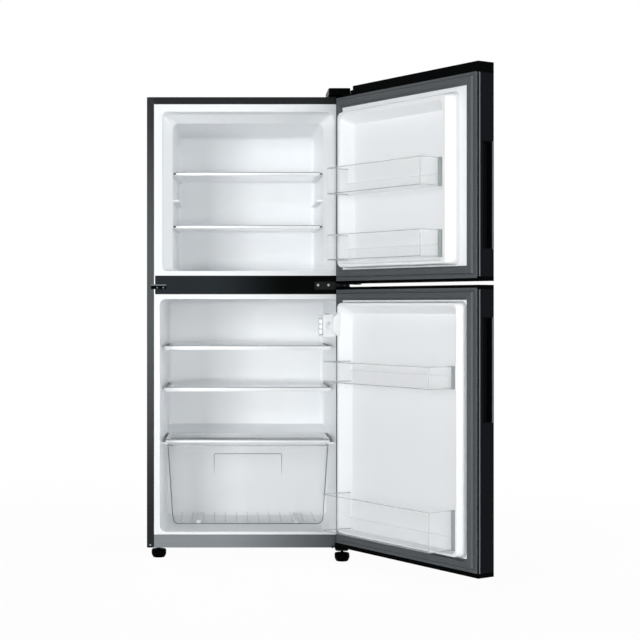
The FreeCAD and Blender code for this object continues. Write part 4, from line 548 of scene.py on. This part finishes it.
outline = front_line()
half_pull = ((1, -pull_drop, 0.25), (1, -0.5 * pull_drop, 0.7), (1, -3 * mm, 1.0), (0.985, -0.8 * mm, 1.0),
             (0.95, 0, 1.0))
pull_line = [(-x, z, r) for x, z, r in half_pull] + [(0, 0, 1.0)] + list(reversed(half_pull))
pull_path = [Vector((drawer_middle + x * pull_half, face_y - 0.5 * mm, pull_top + z))
             for x, z, r in pull_line]
pull_radii = [r * mm for x, z, r in pull_line]
drawer_parts = [(*rod_along(outline, [1.6 * mm] * len(outline)), 0), (*rod_along(pull_path, pull_radii), 0)]
rib_count, rib_pitch, rib_half = 13, 34 * mm, 1.8 * mm
for rib in range(rib_count):
    x = drawer_middle + (rib - rib_count // 2) * rib_pitch
    drawer_parts.append((*box_form((x - rib_half, face_y + 22 * mm, drawer_low.z + 2.6 * mm),
                                   (x + rib_half, drawer_high.y - 30 * mm, drawer_low.z + 5.4 * mm),
                                   0.8 * mm), 1))
points, faces, kinds = gathered(drawer_parts)
mesh_piece("crisper_drawer_edges", points, faces, [outline_grey, drawer_plastic], "crisper_drawer",
           "clear_plastic", kinds)

# ---------------------------------------------------------------- control box and lamp
# The thermostat housing on the right wall is white ABS, fixed to the liner, with a lamp window in a
# grey frame on its leaning inner side and a fluted thumb knob with a raised mark on its front.

dress(white_trim, "control_box")
window = Finish("lamp_window")
ribs = window.node("ShaderNodeTexWave", {"bands_direction": "Y"}, {"Vector": window.place, "Scale": 70.0})
lamp_window = window.surface({
    "Base Color": window.mix(colour("#e9eef2"), colour("#f6fafc"), ribs), "Roughness": 0.18,
    "Emission Color": window.mix(colour("#f4f8fa"), colour("#ffffff"), ribs), "Emission Strength": 0.55},
    ribs, 0.2 * mm)
dress(lamp_window, "lamp_lens")

housing_low, housing_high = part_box("control_box")
lens_low, lens_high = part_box("lamp_lens")
side_depth, side_draft = 120.0 * mm, 5.0 * mm
lean = side_draft / side_depth
frame_bar, bar_gauge, bar_proud = 2.2 * mm, 1.4 * mm, 0.9 * mm


def on_side(y0, y1, z0, z1):
    """A flat bar on the housing's leaning inner side."""
    points, faces = box_form((0, y0, z0), (bar_gauge, y1, z1), 0.3 * mm)
    shift = lens_low.x - bar_proud + lean * lens_high.y
    return [Vector((point.x + shift - lean * point.y, point.y, point.z)) for point in points], faces


bars = []
for share in (0.0, 0.34, 0.67, 1.0):
    z = lens_low.z + share * (lens_high.z - lens_low.z)
    bars.append((*on_side(lens_low.y - frame_bar, lens_high.y + frame_bar,
                          z - frame_bar / 2, z + frame_bar / 2), 0))
for y in (lens_low.y - frame_bar / 2, lens_high.y + frame_bar / 2):
    bars.append((*on_side(y - frame_bar / 3, y + frame_bar / 3, lens_low.z, lens_high.z), 0))
vent_x, vent_y, vent_z = housing_low.x + 12 * mm, housing_low.y + 6 * mm, housing_high.z
vent_width, vent_length, vent_rise = 12 * mm, 30 * mm, 1.6 * mm
bars.append((*box_form((vent_x, vent_y, vent_z),
                       (vent_x + vent_width, vent_y + vent_length, vent_z + vent_rise), 0.4 * mm), 0))
points, faces, _ = gathered(bars)
mesh_piece("lamp_window_frame", points, faces, [seal_grey], "cabinet", "trim_white")

knob_low, knob_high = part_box("control_knob")
knob_radius = (knob_high.x - knob_low.x) / 2
knob_x, knob_z = (knob_low.x + knob_high.x) / 2, (knob_low.z + knob_high.z) / 2
knob_face = housing_low.y - 6.2 * mm
flute_depth = 0.5 * mm
rim_steps = 72


def knob_ring(radius, y, flute):
    """One ring of the knob's rim, cut in by the flute's depth at every other pair of corners."""
    ring = []
    for step in range(rim_steps):
        turn, reach = 2 * math.pi * step / rim_steps, radius - flute * (step % 4 < 2)
        ring.append(Vector((knob_x + reach * math.cos(turn), y, knob_z + reach * math.sin(turn))))
    return ring


knob_rings = [knob_ring(knob_radius, housing_low.y - 0.3 * mm, flute_depth),
              knob_ring(knob_radius, knob_face + 1.2 * mm, flute_depth),
              knob_ring(knob_radius - 0.8 * mm, knob_face + 0.3 * mm, 0.2 * mm),
              knob_ring(knob_radius - 2.2 * mm, knob_face, 0),
              knob_ring(knob_radius - 3.2 * mm, knob_face + 0.6 * mm, 0)]
mark_half = 0.5 * mm
mark = box_form((knob_x - mark_half, knob_low.y, knob_z + 3 * mm),
                (knob_x + mark_half, knob_face + 1.5 * mm, knob_z + knob_radius - 2 * mm), 0.2 * mm)
points, faces, kinds = gathered([(*skin_over(knob_rings, ends=True), 0), (*mark, 1)])
knob = mesh_piece("thermostat_knob", points, faces, [white_trim, seal_grey], "control_knob", "trim_white",
                  kinds)
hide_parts("control_knob")

# ---------------------------------------------------------------- hinges
# The hinge plates are pressed steel in a black coat, screwed to the case; the caps over them are black
# plastic. The screws are zinc-plated, with pan heads and cross recesses, and the bottom bracket is
# held by two black bolts.

coat = Finish("black_coat")
coat_grain = coat.noise(700)
hinge_black = coat.surface({
    "Base Color": coat.mix(colour("#060809"), colour("#0b0d0e"), coat_grain),
    "Specular IOR Level": 0.1, "Roughness": 0.34 + 0.12 * coat_grain}, coat_grain, 0.05 * mm)
dress(hinge_black, "top_hinge", "middle_hinge", "bottom_hinge", "freezer_door_stop", "fridge_door_stop")

moulded = Finish("black_plastic")
moulded_grain = moulded.noise(1300, 3.0)
black_plastic = moulded.surface({
    "Base Color": moulded.mix(colour("#010202"), colour("#030405"), moulded.noise(20)),
    "Specular IOR Level": 0.01, "Roughness": 0.34 + 0.12 * moulded_grain}, moulded_grain, 0.06 * mm)
dress(black_plastic, "top_hinge_cover", "left_hinge_cover", "freezer_door_end_caps", "fridge_door_end_caps",
      "terminal_box")

plated = Finish("zinc_plate")
plated_grain = plated.noise(500)
screw_steel = plated.surface({
    "Base Color": plated.mix(colour("#aeb2b5"), colour("#c6c9cb"), plated_grain),
    "Metallic": 0.4, "Roughness": 0.34 + 0.1 * plated_grain}, plated_grain, 0.02 * mm)

dull = Finish("dull_steel")
dull_grain = dull.noise(500)
dull_steel = dull.surface({
    "Base Color": dull.mix(colour("#5d6265"), colour("#6d7275"), dull_grain),
    "Metallic": 0.2, "Roughness": 0.42 + 0.1 * dull_grain}, dull_grain, 0.02 * mm)

head_height = 0.42
head_steps = 20


def screw_head(x, y, z, radius, kind):
    """A pan head facing the front, with its cross recess drawn as a black cross of painted shade."""
    rings = []
    for share, rise in ((1.0, 0.0), (1.0, 0.45), (0.86, 0.8), (0.5, 1.0), (0.12, 1.05)):
        rings.append([Vector((x + share * radius * math.cos(turn), y - rise * head_height * radius,
                              z + share * radius * math.sin(turn)))
                      for turn in (2 * math.pi * step / head_steps for step in range(head_steps))])
    # Painted shade: the cross recess is not cut but drawn as a black cross on the head.
    arm, half, face = 0.55 * radius, 0.11 * radius, y - 0.45 * radius
    cross = [box_form((x - w, face, z - h), (x + w, face + 0.2 * radius, z + h), 0.02 * mm)
             for w, h in ((arm, half), (half, arm))]
    return [(*skin_over(rings, ends=True), kind)] + [(*bar, 3) for bar in cross]


plate_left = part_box("middle_hinge")[0].x
screws_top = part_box("hinge_screws")[1].z
left_low, left_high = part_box("left_hinge_cover")
head = 3.6 * mm
plate_face = front_y - 2 * mm
plate_screws = ((10 * mm, head, 0), (41 * mm, head, 0), (64 * mm, 0.7 * head, 2))
cover_screws = (left_low.x + 18.5 * mm, left_high.x - 8.5 * mm)
cover_face, cover_screw_z = left_low.y + 3.9 * mm, left_low.z + 4.6 * mm
corner_x, corner_z = case_low.x + 10 * mm, case_low.z + 8 * mm
screw_parts = []
for along, radius, kind in plate_screws:
    screw_parts += screw_head(plate_left + along, plate_face, screws_top - head, radius, kind)
for x in cover_screws:
    screw_parts += screw_head(x, cover_face, cover_screw_z, 0.72 * head, 1)
screw_parts += screw_head(corner_x, front_y, corner_z, 0.6 * head, 0)
points, faces, kinds = gathered(screw_parts)
screws = mesh_piece("hinge_screw_heads", points, faces,
                    [screw_steel, dull_steel, hinge_black, black_plastic], "cabinet", "screw_steel", kinds)
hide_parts("hinge_screws")

lip_height = 3.6 * mm
lip = box_form((left_low.x, left_low.y - 0.1 * mm, left_high.z - lip_height),
               (left_high.x, left_low.y + 2 * mm, left_high.z), 0.4 * mm)
mesh_piece("left_cover_lip", *lip, [dull_steel], "cabinet", "screw_steel")

mullion_low, mullion_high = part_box("mullion_plate")
liner_edge = box_form((case_low.x + strip_width, front_y - 0.25 * mm, mullion_low.z),
                      (case_low.x + strip_width + 3 * mm, front_y + 0.6 * mm, mullion_high.z), 0.1 * mm)
mesh_piece("liner_edge_by_mullion", *liner_edge, [white_liner], "cabinet", "liner_white")

bracket_low, bracket_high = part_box("bottom_hinge")
bolts = []
for x, z, radius in ((bracket_low.x - 6 * mm, bracket_low.z + 2 * mm, 2.6 * mm),
                     (bracket_high.x + 1 * mm, bracket_low.z - 1 * mm, 2.0 * mm)):
    path = [Vector((x, front_y + y * mm, z)) for y in (-14, -13, -2, 0)]
    bolts.append((*rod_along(path, [0.8 * radius, radius, radius, radius]), 0))
points, faces, _ = gathered(bolts)
mesh_piece("bracket_bolts", points, faces, [hinge_black], "cabinet", "black_plastic")

# ---------------------------------------------------------------- feet and rollers
# Two black moulded feet on studs carry the front, and turn to level the cabinet. Two black rollers
# with moulded axle stubs sit in lugs of the compressor's cross plate and carry the back.

dress(black_plastic, "front_left_foot", "front_right_foot", "rear_left_roller", "rear_right_roller")

# ---------------------------------------------------------------- compressor and pipes
# The compressor's shell is deep-drawn steel in satin black enamel on four rubber grommets, with a
# copper discharge line and a plastic tray on top that dries off the defrost water. The condenser's coil
# is steel tube against the case, and each compartment's evaporator is aluminium behind its liner.

enamel = Finish("black_enamel")
enamel_grain = enamel.noise(300)
compressor_black = enamel.surface({
    "Base Color": enamel.mix(colour("#101112"), colour("#191a1b"), enamel_grain),
    "Roughness": 0.42 + 0.1 * enamel_grain}, enamel_grain, 0.1 * mm)
dress(compressor_black, "compressor")

tube = Finish("copper_tube")
tarnish = tube.noise(70, 4.0)
copper = tube.surface({
    "Base Color": tube.mix(colour("#b87149"), colour("#8a5237"), tarnish), "Metallic": 1.0,
    "Roughness": 0.28 + 0.2 * tarnish}, tarnish, 0.03 * mm)
dress(copper, "refrigerant_pipe")

tray = Finish("tray_plastic")
tray_grain = tray.noise(600)
tray_grey = tray.surface({
    "Base Color": tray.mix(colour("#6c7072"), colour("#7a7e80"), tray_grain), "Roughness": 0.5}, tray_grain,
    0.05 * mm)
dress(tray_grey, "drip_tray")

coil = Finish("coil_steel")
coil_grain = coil.noise(300)
tube_steel = coil.surface({
    "Base Color": coil.mix(colour("#3a3c3d"), colour("#4a4c4d"), coil_grain), "Metallic": 0.6,
    "Roughness": 0.4 + 0.1 * coil_grain}, coil_grain, 0.04 * mm)
dress(tube_steel, "condenser_coil")

cold = Finish("aluminium_sheet")
cold_grain = cold.noise(90, stretch=(1, 1, 10))
aluminium = cold.surface({
    "Base Color": cold.mix(colour("#b5b9bb"), colour("#c8cbcd"), cold_grain), "Metallic": 0.9,
    "Roughness": 0.35 + 0.1 * cold_grain}, cold_grain, 0.02 * mm)
dress(aluminium, "freezer_evaporator", "fridge_evaporator")

# ---------------------------------------------------------------- doors
# Each door is a steel skin folded round its sides and painted black, closed above and below by plastic
# caps and foamed behind its white liner. Its free side has a raised light grey line, a painted highlight of
# the skin's bend, and a plastic grip let into a slot whose rim is light grey on its outer side, another
# painted highlight. The doors stand open, so their pieces are laid out shut and then turned about the
# hinge's axis.

hinge = next(joint for joint in frame["joints"] if joint["name"] == "freezer_door_hinge")
swung = Matrix.Translation((hinge["pos_m"][0], hinge["pos_m"][1], 0)) @ Matrix.Rotation(
    math.radians(-hinge["range_deg"][0]), 4, "Z")
shut = swung.inverted()


def closed_box(name):
    """A door node's box as it would lie with the door shut, measured from the hinge's axis."""
    places = [shut @ vertex.co for vertex in frame["nodes"][name].data.vertices]
    return (Vector([min(place[k] for place in places) for k in range(3)]),
            Vector([max(place[k] for place in places) for k in range(3)]))


door_paint = Finish("door_paint")
door_peel = door_paint.noise(900)
door_coat = door_paint.surface({
    "Base Color": door_paint.mix(colour("#04070b"), colour("#070b10"), door_paint.noise(4)),
    "Specular IOR Level": 0.045, "Roughness": 0.32 + 0.07 * door_peel}, door_peel, 0.03 * mm)
dress(door_coat, "freezer_door_skin", "fridge_door_skin")

satin = Finish("painted_highlight_grey")
satin_grain = satin.noise(800)
painted_highlight_grey = satin.surface({
    "Base Color": satin.mix(colour("#54595c"), colour("#62676a"), satin_grain),
    "Metallic": 0.3, "Roughness": 0.34 + 0.1 * satin_grain}, satin_grain, 0.02 * mm)

recess = Finish("grip_plastic")
recess_grain = recess.noise(1300, 3.0)
grip_plastic = recess.surface({
    "Base Color": recess.mix(colour("#020303"), colour("#040505"), recess_grain),
    "Specular IOR Level": 0.04, "Roughness": 0.6 + 0.1 * recess_grain}, recess_grain, 0.06 * mm)
dress(grip_plastic, "freezer_door_grip", "fridge_door_grip")


def edge_lines(door):
    """A light grey line along the skin's free side and the rim of the grip's slot; the light grey is painted
    highlight.
    """
    skin_low, skin_high = closed_box(door + "_door_skin")
    grip_low, grip_high = closed_box(door + "_door_grip")
    side, sunk = skin_low.x, 0.2 * mm
    # Painted highlight: the line along the free side and the rim's outer side are light grey.
    lines = [(*box_form((side - 0.35 * mm, skin_high.y - 6.8 * mm, skin_low.z),
                        (side + sunk, skin_high.y - 2.6 * mm, skin_high.z), 0.15 * mm), 0)]
    proud, rim, past = 0.3 * mm, 1.4 * mm, 1 * mm
    for y0, y1, z0, z1, kind in (
            (grip_low.y - 3.6 * mm, grip_low.y - 0.4 * mm, grip_low.z - past, grip_high.z + past, 0),
            (grip_high.y - sunk, grip_high.y + rim, grip_low.z - past, grip_high.z + past, 1),
            (grip_low.y, grip_high.y, grip_low.z - rim, grip_low.z + sunk, 1),
            (grip_low.y, grip_high.y, grip_high.z - sunk, grip_high.z + rim, 1)):
        lines.append((*box_form((side - proud, y0, z0), (side + sunk, y1, z1), 0.1 * mm), kind))
    points, faces, kinds = gathered(lines)
    mesh_piece(door + "_door_edge_lines", [swung @ point for point in points], faces,
               [painted_highlight_grey, black_plastic], door + "_door", "case_paint", kinds)


edge_lines("freezer")
edge_lines("fridge")

# The stop's thin tongue tapers and droops towards the free side, below the hinge plate.
stop_base = closed_box("freezer_door_stop")[0].z
tongue_gauge = 1.6
tongue = []
for along, half, drop in ((-24, 7, 0.6), (-44, 5.5, 1.6), (-62, 3.5, 2.4), (-70, 1.2, 2.6)):
    z = stop_base - drop * mm
    tongue.append([swung @ Vector((along * mm, y * mm, z + rise * mm))
                   for y, rise in ((-half, 0), (half, 0), (half, tongue_gauge), (-half, tongue_gauge))])
mesh_piece("freezer_door_stop_tongue", *skin_over(tongue, ends=True), [hinge_black], "freezer_door",
           "black_plastic")

# The upper cap steps down beside the hinge's cover, and this shoulder fills half of the step.
shoulder_low = (-62.9 * mm, -31 * mm, 1359 * mm)
shoulder_high = (-52.5 * mm, 22 * mm, 1369 * mm)
points, faces = box_form(shoulder_low, shoulder_high, 1 * mm)
mesh_piece("freezer_cap_shoulder", [swung @ point for point in points], faces, [black_plastic],
           "freezer_door", "black_plastic")

# ---------------------------------------------------------------- gaskets
# Each door carries a ring of grey PVC pushed into its liner: a foot, a bellows and a tube that holds
# the magnet strip. The four lengths are mitred and welded at the corners.

rubber = Finish("gasket_rubber")
rubber_grain = rubber.noise(400)
gasket_rubber = rubber.surface({
    "Base Color": rubber.mix(colour("#484c4f"), colour("#54585b"), rubber_grain),
    "Specular IOR Level": 0.3, "Roughness": 0.5 + 0.1 * rubber_grain}, rubber_grain, 0.08 * mm)
dress(gasket_rubber, "compressor_mounts")

gasket_width = 29.0
free_side_width = 34.9
hinge_side_line = -15.5 * mm
gasket_profile = (
    (-2.3, 0.0), (-2.3, 0.4), (-1.9, 0.8), (0.0, 1.1), (4.6, 1.6), (5.2, 0.5), (7.6, 0.5), (8.2, 3.4),
    (8.8, 7.0), (10.0, 8.8), (11.4, 9.2), (15.0, 9.2), (15.8, 8.7), (16.8, 8.7), (17.6, 9.2), (21.6, 9.1),
    (23.2, 8.4), (24.0, 6.8), (23.6, 5.0), (24.4, 3.6), (26.0, 2.9), (28.2, 2.4), (29.0, 1.6), (29.0, 0.0))


def gasket(door):
    """One door's gasket, swept round its four sides; its width differs at the free and hinge sides."""
    name = door + "_door_gasket"
    low, high = closed_box(name)
    hinge_share = (high.x - hinge_side_line) / (gasket_width * mm)
    free_share = free_side_width / gasket_width
    rings = []
    for step, rise in gasket_profile:
        inward, y = step * mm, low.y + rise * mm
        free_x = low.x + max(inward, 0) * free_share + min(inward, 0)
        hinge_x = high.x - inward * hinge_share
        foot_z = low.z + inward - (1.5 * mm if step < 0 else 0)
        rings.append([swung @ Vector(place) for place in (
            (free_x, y, foot_z), (hinge_x, y, foot_z), (hinge_x, y, high.z - inward),
            (free_x, y, high.z - inward))])
    points, faces = skin_over(rings, closed_along=True)
    piece = mesh_piece(name + "_ring", points, faces, [gasket_rubber], door + "_door", "gasket_rubber",
                       fold=50)
    soften = piece.modifiers.new("Soften", "BEVEL")
    soften.width, soften.segments, soften.limit_method = 0.3 * mm, 2, "ANGLE"
    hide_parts(name)


gasket("freezer")
gasket("fridge")

# ---------------------------------------------------------------- door bins
# Four clear polystyrene bins hang on the door liners. Each is one moulding: a deep front that turns
# back round both ends, a low back, a rolled rim along the top and a hanging rail at the free end. The
# thin walls are drawn as one skin, and the rims carry the thickness that shows.

rim_light = Finish("clear_plastic_rim")
rim_grain = rim_light.noise(40)
thin_rim = rim_light.surface({
    "Base Color": rim_light.mix(colour("#c3cacd"), colour("#d2d8da"), rim_grain),
    "Roughness": 0.12 + 0.06 * rim_grain, "Alpha": 0.55}, rim_grain, 0.05 * mm)

bin_wall = 2.5 * mm
bin_corner = 7 * mm
bin_back = 34 * mm
bin_rail = 3 * mm
bin_rim_drop = 1.7 * mm


def bin_path(low, high, taper, inset):
    """The line of a bin's wall seen from above: from the free root round the front to the hinge root."""
    free, hinge_end = low.x + bin_rail + inset, high.x - inset
    front, root = high.y - inset, low.y
    corner = max(bin_corner - inset, 1 * mm)
    slant = taper / (front - root)
    line = [(free, root + 0.5 * mm)]
    for step in range(7):
        turn = math.radians(90 * step / 6)
        line.append((free + corner - corner * math.cos(turn), front - corner + corner * math.sin(turn)))
    for step in range(7):
        turn = math.radians(90 - 90 * step / 6)
        line.append((hinge_end - corner + corner * math.cos(turn), front - corner + corner * math.sin(turn)))
    line.append((hinge_end - taper, root + 0.5 * mm))
    return [(min(x, hinge_end - slant * (front - y)), y) for x, y in line]


def door_bin(name, taper):
    """One bin in place of its plain solid; taper is how far its hinge end draws in towards the liner."""
    low, high = closed_box(name)
    rings = [[Vector((x, y, z)) for x, y in bin_path(low, high, taper, inset)] for inset, z in (
        (2.2 * mm, low.z), (0.6 * mm, low.z + 0.9 * mm), (0, low.z + 3 * mm), (0, low.z + bin_back),
        (0, high.z - bin_rim_drop))]
    back_panel = (3, len(rings[0]) - 1)
    parts = [(*open_tub(rings, {back_panel}), 0)]

    def rod(path, radius, kind):
        """A round bead of one radius along a path."""
        parts.append((*rod_along(path, [radius] * len(path), 8), kind))

    rim_path = bin_path(low, high, taper, bin_wall / 2)
    rod([Vector((x, y, high.z - bin_rim_drop)) for x, y in rim_path], 1.3 * mm, 1)
    foot_path = bin_path(low, high, taper, 1.4 * mm)
    rod([Vector((x, y, low.z + 2.2 * mm)) for x, y in foot_path], 1.4 * mm, 4)
    back_left, back_right = low.x + bin_rail, high.x - taper
    rod([Vector((x, low.y + 1.3 * mm, low.z + bin_back)) for x in (back_left, back_right)], 1.0 * mm, 0)
    parts.append((*box_form((low.x, low.y, low.z), (low.x + bin_rail, low.y + 14 * mm, high.z), 0.6 * mm), 3))
    for y, radius in ((low.y + 1.6 * mm, 0.9 * mm), (low.y + 12.6 * mm, 1.3 * mm)):
        rod([Vector((low.x + 1.6 * mm, y, z)) for z in (low.z + 1 * mm, high.z - 1 * mm)], radius, 2)
    # Painted highlight: a pale rod up the front corner stands for the gleam along it.
    corner_x, corner_y = low.x + bin_rail + 2.4 * mm, high.y - 2.4 * mm
    rod([Vector((corner_x, corner_y, z)) for z in (low.z + 3 * mm, high.z - 3 * mm)], 1.2 * mm, 1)
    points, faces, kinds = gathered(parts)
    piece = mesh_piece(name + "_moulding", [swung @ point for point in points], faces,
                       [drawer_plastic, thin_rim, glass_edge, thin_rim, plastic_edge], name,
                       "clear_plastic", kinds)
    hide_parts(name)


door_bin("freezer_upper_bin", taper=6 * mm)
door_bin("freezer_lower_bin", taper=6 * mm)
door_bin("fridge_upper_bin", taper=18 * mm)
door_bin("fridge_bottle_bin", taper=18 * mm)

# ---------------------------------------------------------------- stage
# A wide pale floor that keeps the cabinet's shadow close by and fades to the white of the backdrop
# further off, with plain soft boxes in front and behind, and the camera level before the cabinet.

floor_reach = 40
floor_corners = [(floor_reach * x, floor_reach * y, 0) for x, y in ((-1, -1), (1, -1), (1, 1), (-1, 1))]
floor_mesh = bpy.data.meshes.new("floor")
floor_mesh.from_pydata(floor_corners, [], [(0, 1, 2, 3)])
floor = bpy.data.objects.new("floor", floor_mesh)
bpy.context.scene.collection.objects.link(floor)


def plainly_seen(finish):
    """One for what the camera sees straight or in gloss or glass, and nothing for light on the object."""
    camera_ray, glossy_ray, glass_ray = (
        finish.node("ShaderNodeLightPath", output=ray)
        for ray in ("Is Camera Ray", "Is Glossy Ray", "Is Transmission Ray"))
    return camera_ray + glossy_ray + glass_ray


ground = Finish("studio_floor")
lit = ground.node("ShaderNodeBsdfDiffuse", {}, {
    "Color": ground.mix(colour("#f4f4f4"), colour("#f7f7f7"), ground.noise(2))})
faint = ground.node("ShaderNodeBsdfDiffuse", {}, {"Color": (0.07, 0.07, 0.07, 1)})
glow = ground.node("ShaderNodeEmission", {}, {"Color": (1, 1, 1, 1), "Strength": 0.955})
near = ground.node("ShaderNodeAddShader", {}, {0: glow, 1: faint})
white = ground.node("ShaderNodeEmission", {}, {"Color": (1, 1, 1, 1), "Strength": 1.0})
reach = ground.node("ShaderNodeVectorMath", {"operation": "LENGTH"}, {0: ground.place}, "Value")
away = ground.node("ShaderNodeMapRange", {"interpolation_type": "SMOOTHSTEP"}, {
    "Value": reach, "From Min": 1.0, "From Max": 2.8})
pale = ground.node("ShaderNodeMixShader", {}, {0: away, 1: near, 2: white})
shown = ground.node("ShaderNodeMixShader", {}, {0: plainly_seen(ground), 1: lit, 2: pale})
ground.node("ShaderNodeOutputMaterial", {}, {"Surface": shown}, None)
floor_mesh.materials.append(ground.material)

world = bpy.data.worlds.new("studio")
bpy.context.scene.world = world
air = Finish("studio", world)
room = air.node("ShaderNodeBackground", {}, {"Color": (1, 1, 1, 1), "Strength": 0.06})
backdrop = air.node("ShaderNodeBackground", {}, {"Color": (1, 1, 1, 1), "Strength": 1.0})
sky = air.node("ShaderNodeMixShader", {}, {0: plainly_seen(air), 1: room, 2: backdrop})
air.node("ShaderNodeOutputWorld", {}, {"Surface": sky}, None)


def soft_box(name, place, aim, size, power):
    """A rectangular studio lamp pointed at a place."""
    lamp = bpy.data.lights.new(name, "AREA")
    lamp.shape = "RECTANGLE"
    lamp.size, lamp.size_y = size
    lamp.energy = power
    holder = bpy.data.objects.new(name, lamp)
    bpy.context.scene.collection.objects.link(holder)
    holder.location = place
    holder.rotation_euler = (Vector(aim) - Vector(place)).to_track_quat("-Z", "Y").to_euler()
    holder.visible_camera = False


cabinet_middle = (0.25, 0, 0.7)
square_box = (2.2, 2.2)
soft_box("left_box", (-3.0, -6.2, 1.3), cabinet_middle, square_box, 247)
soft_box("right_box", (4.8, -5.2, 1.3), cabinet_middle, square_box, 208)
soft_box("low_box", (0.25, -6.8, 0.35), cabinet_middle, (3.0, 0.5), 50)
soft_box("over_box", (0.3, -2.6, 3.6), (0.3, -0.9, 0), (2.6, 1.4), 4)
soft_box("back_left_box", (-3.0, 5.6, 2.2), cabinet_middle, square_box, 150)
soft_box("back_right_box", (3.6, 5.6, 2.2), cabinet_middle, square_box, 150)

camera_data = bpy.data.cameras.new("camera")
camera_data.lens = 81.38
camera_data.sensor_width = 36
camera_data.shift_x = 0.146
camera_data.shift_y = -0.0228
camera = bpy.data.objects.new("camera", camera_data)
camera.location = (0.2008, -4.2966, 0.746)
camera.rotation_euler = (math.radians(90), 0, 0)
bpy.context.scene.collection.objects.link(camera)
bpy.context.scene.camera = camera
bpy.context.scene.view_settings.view_transform = "Standard"
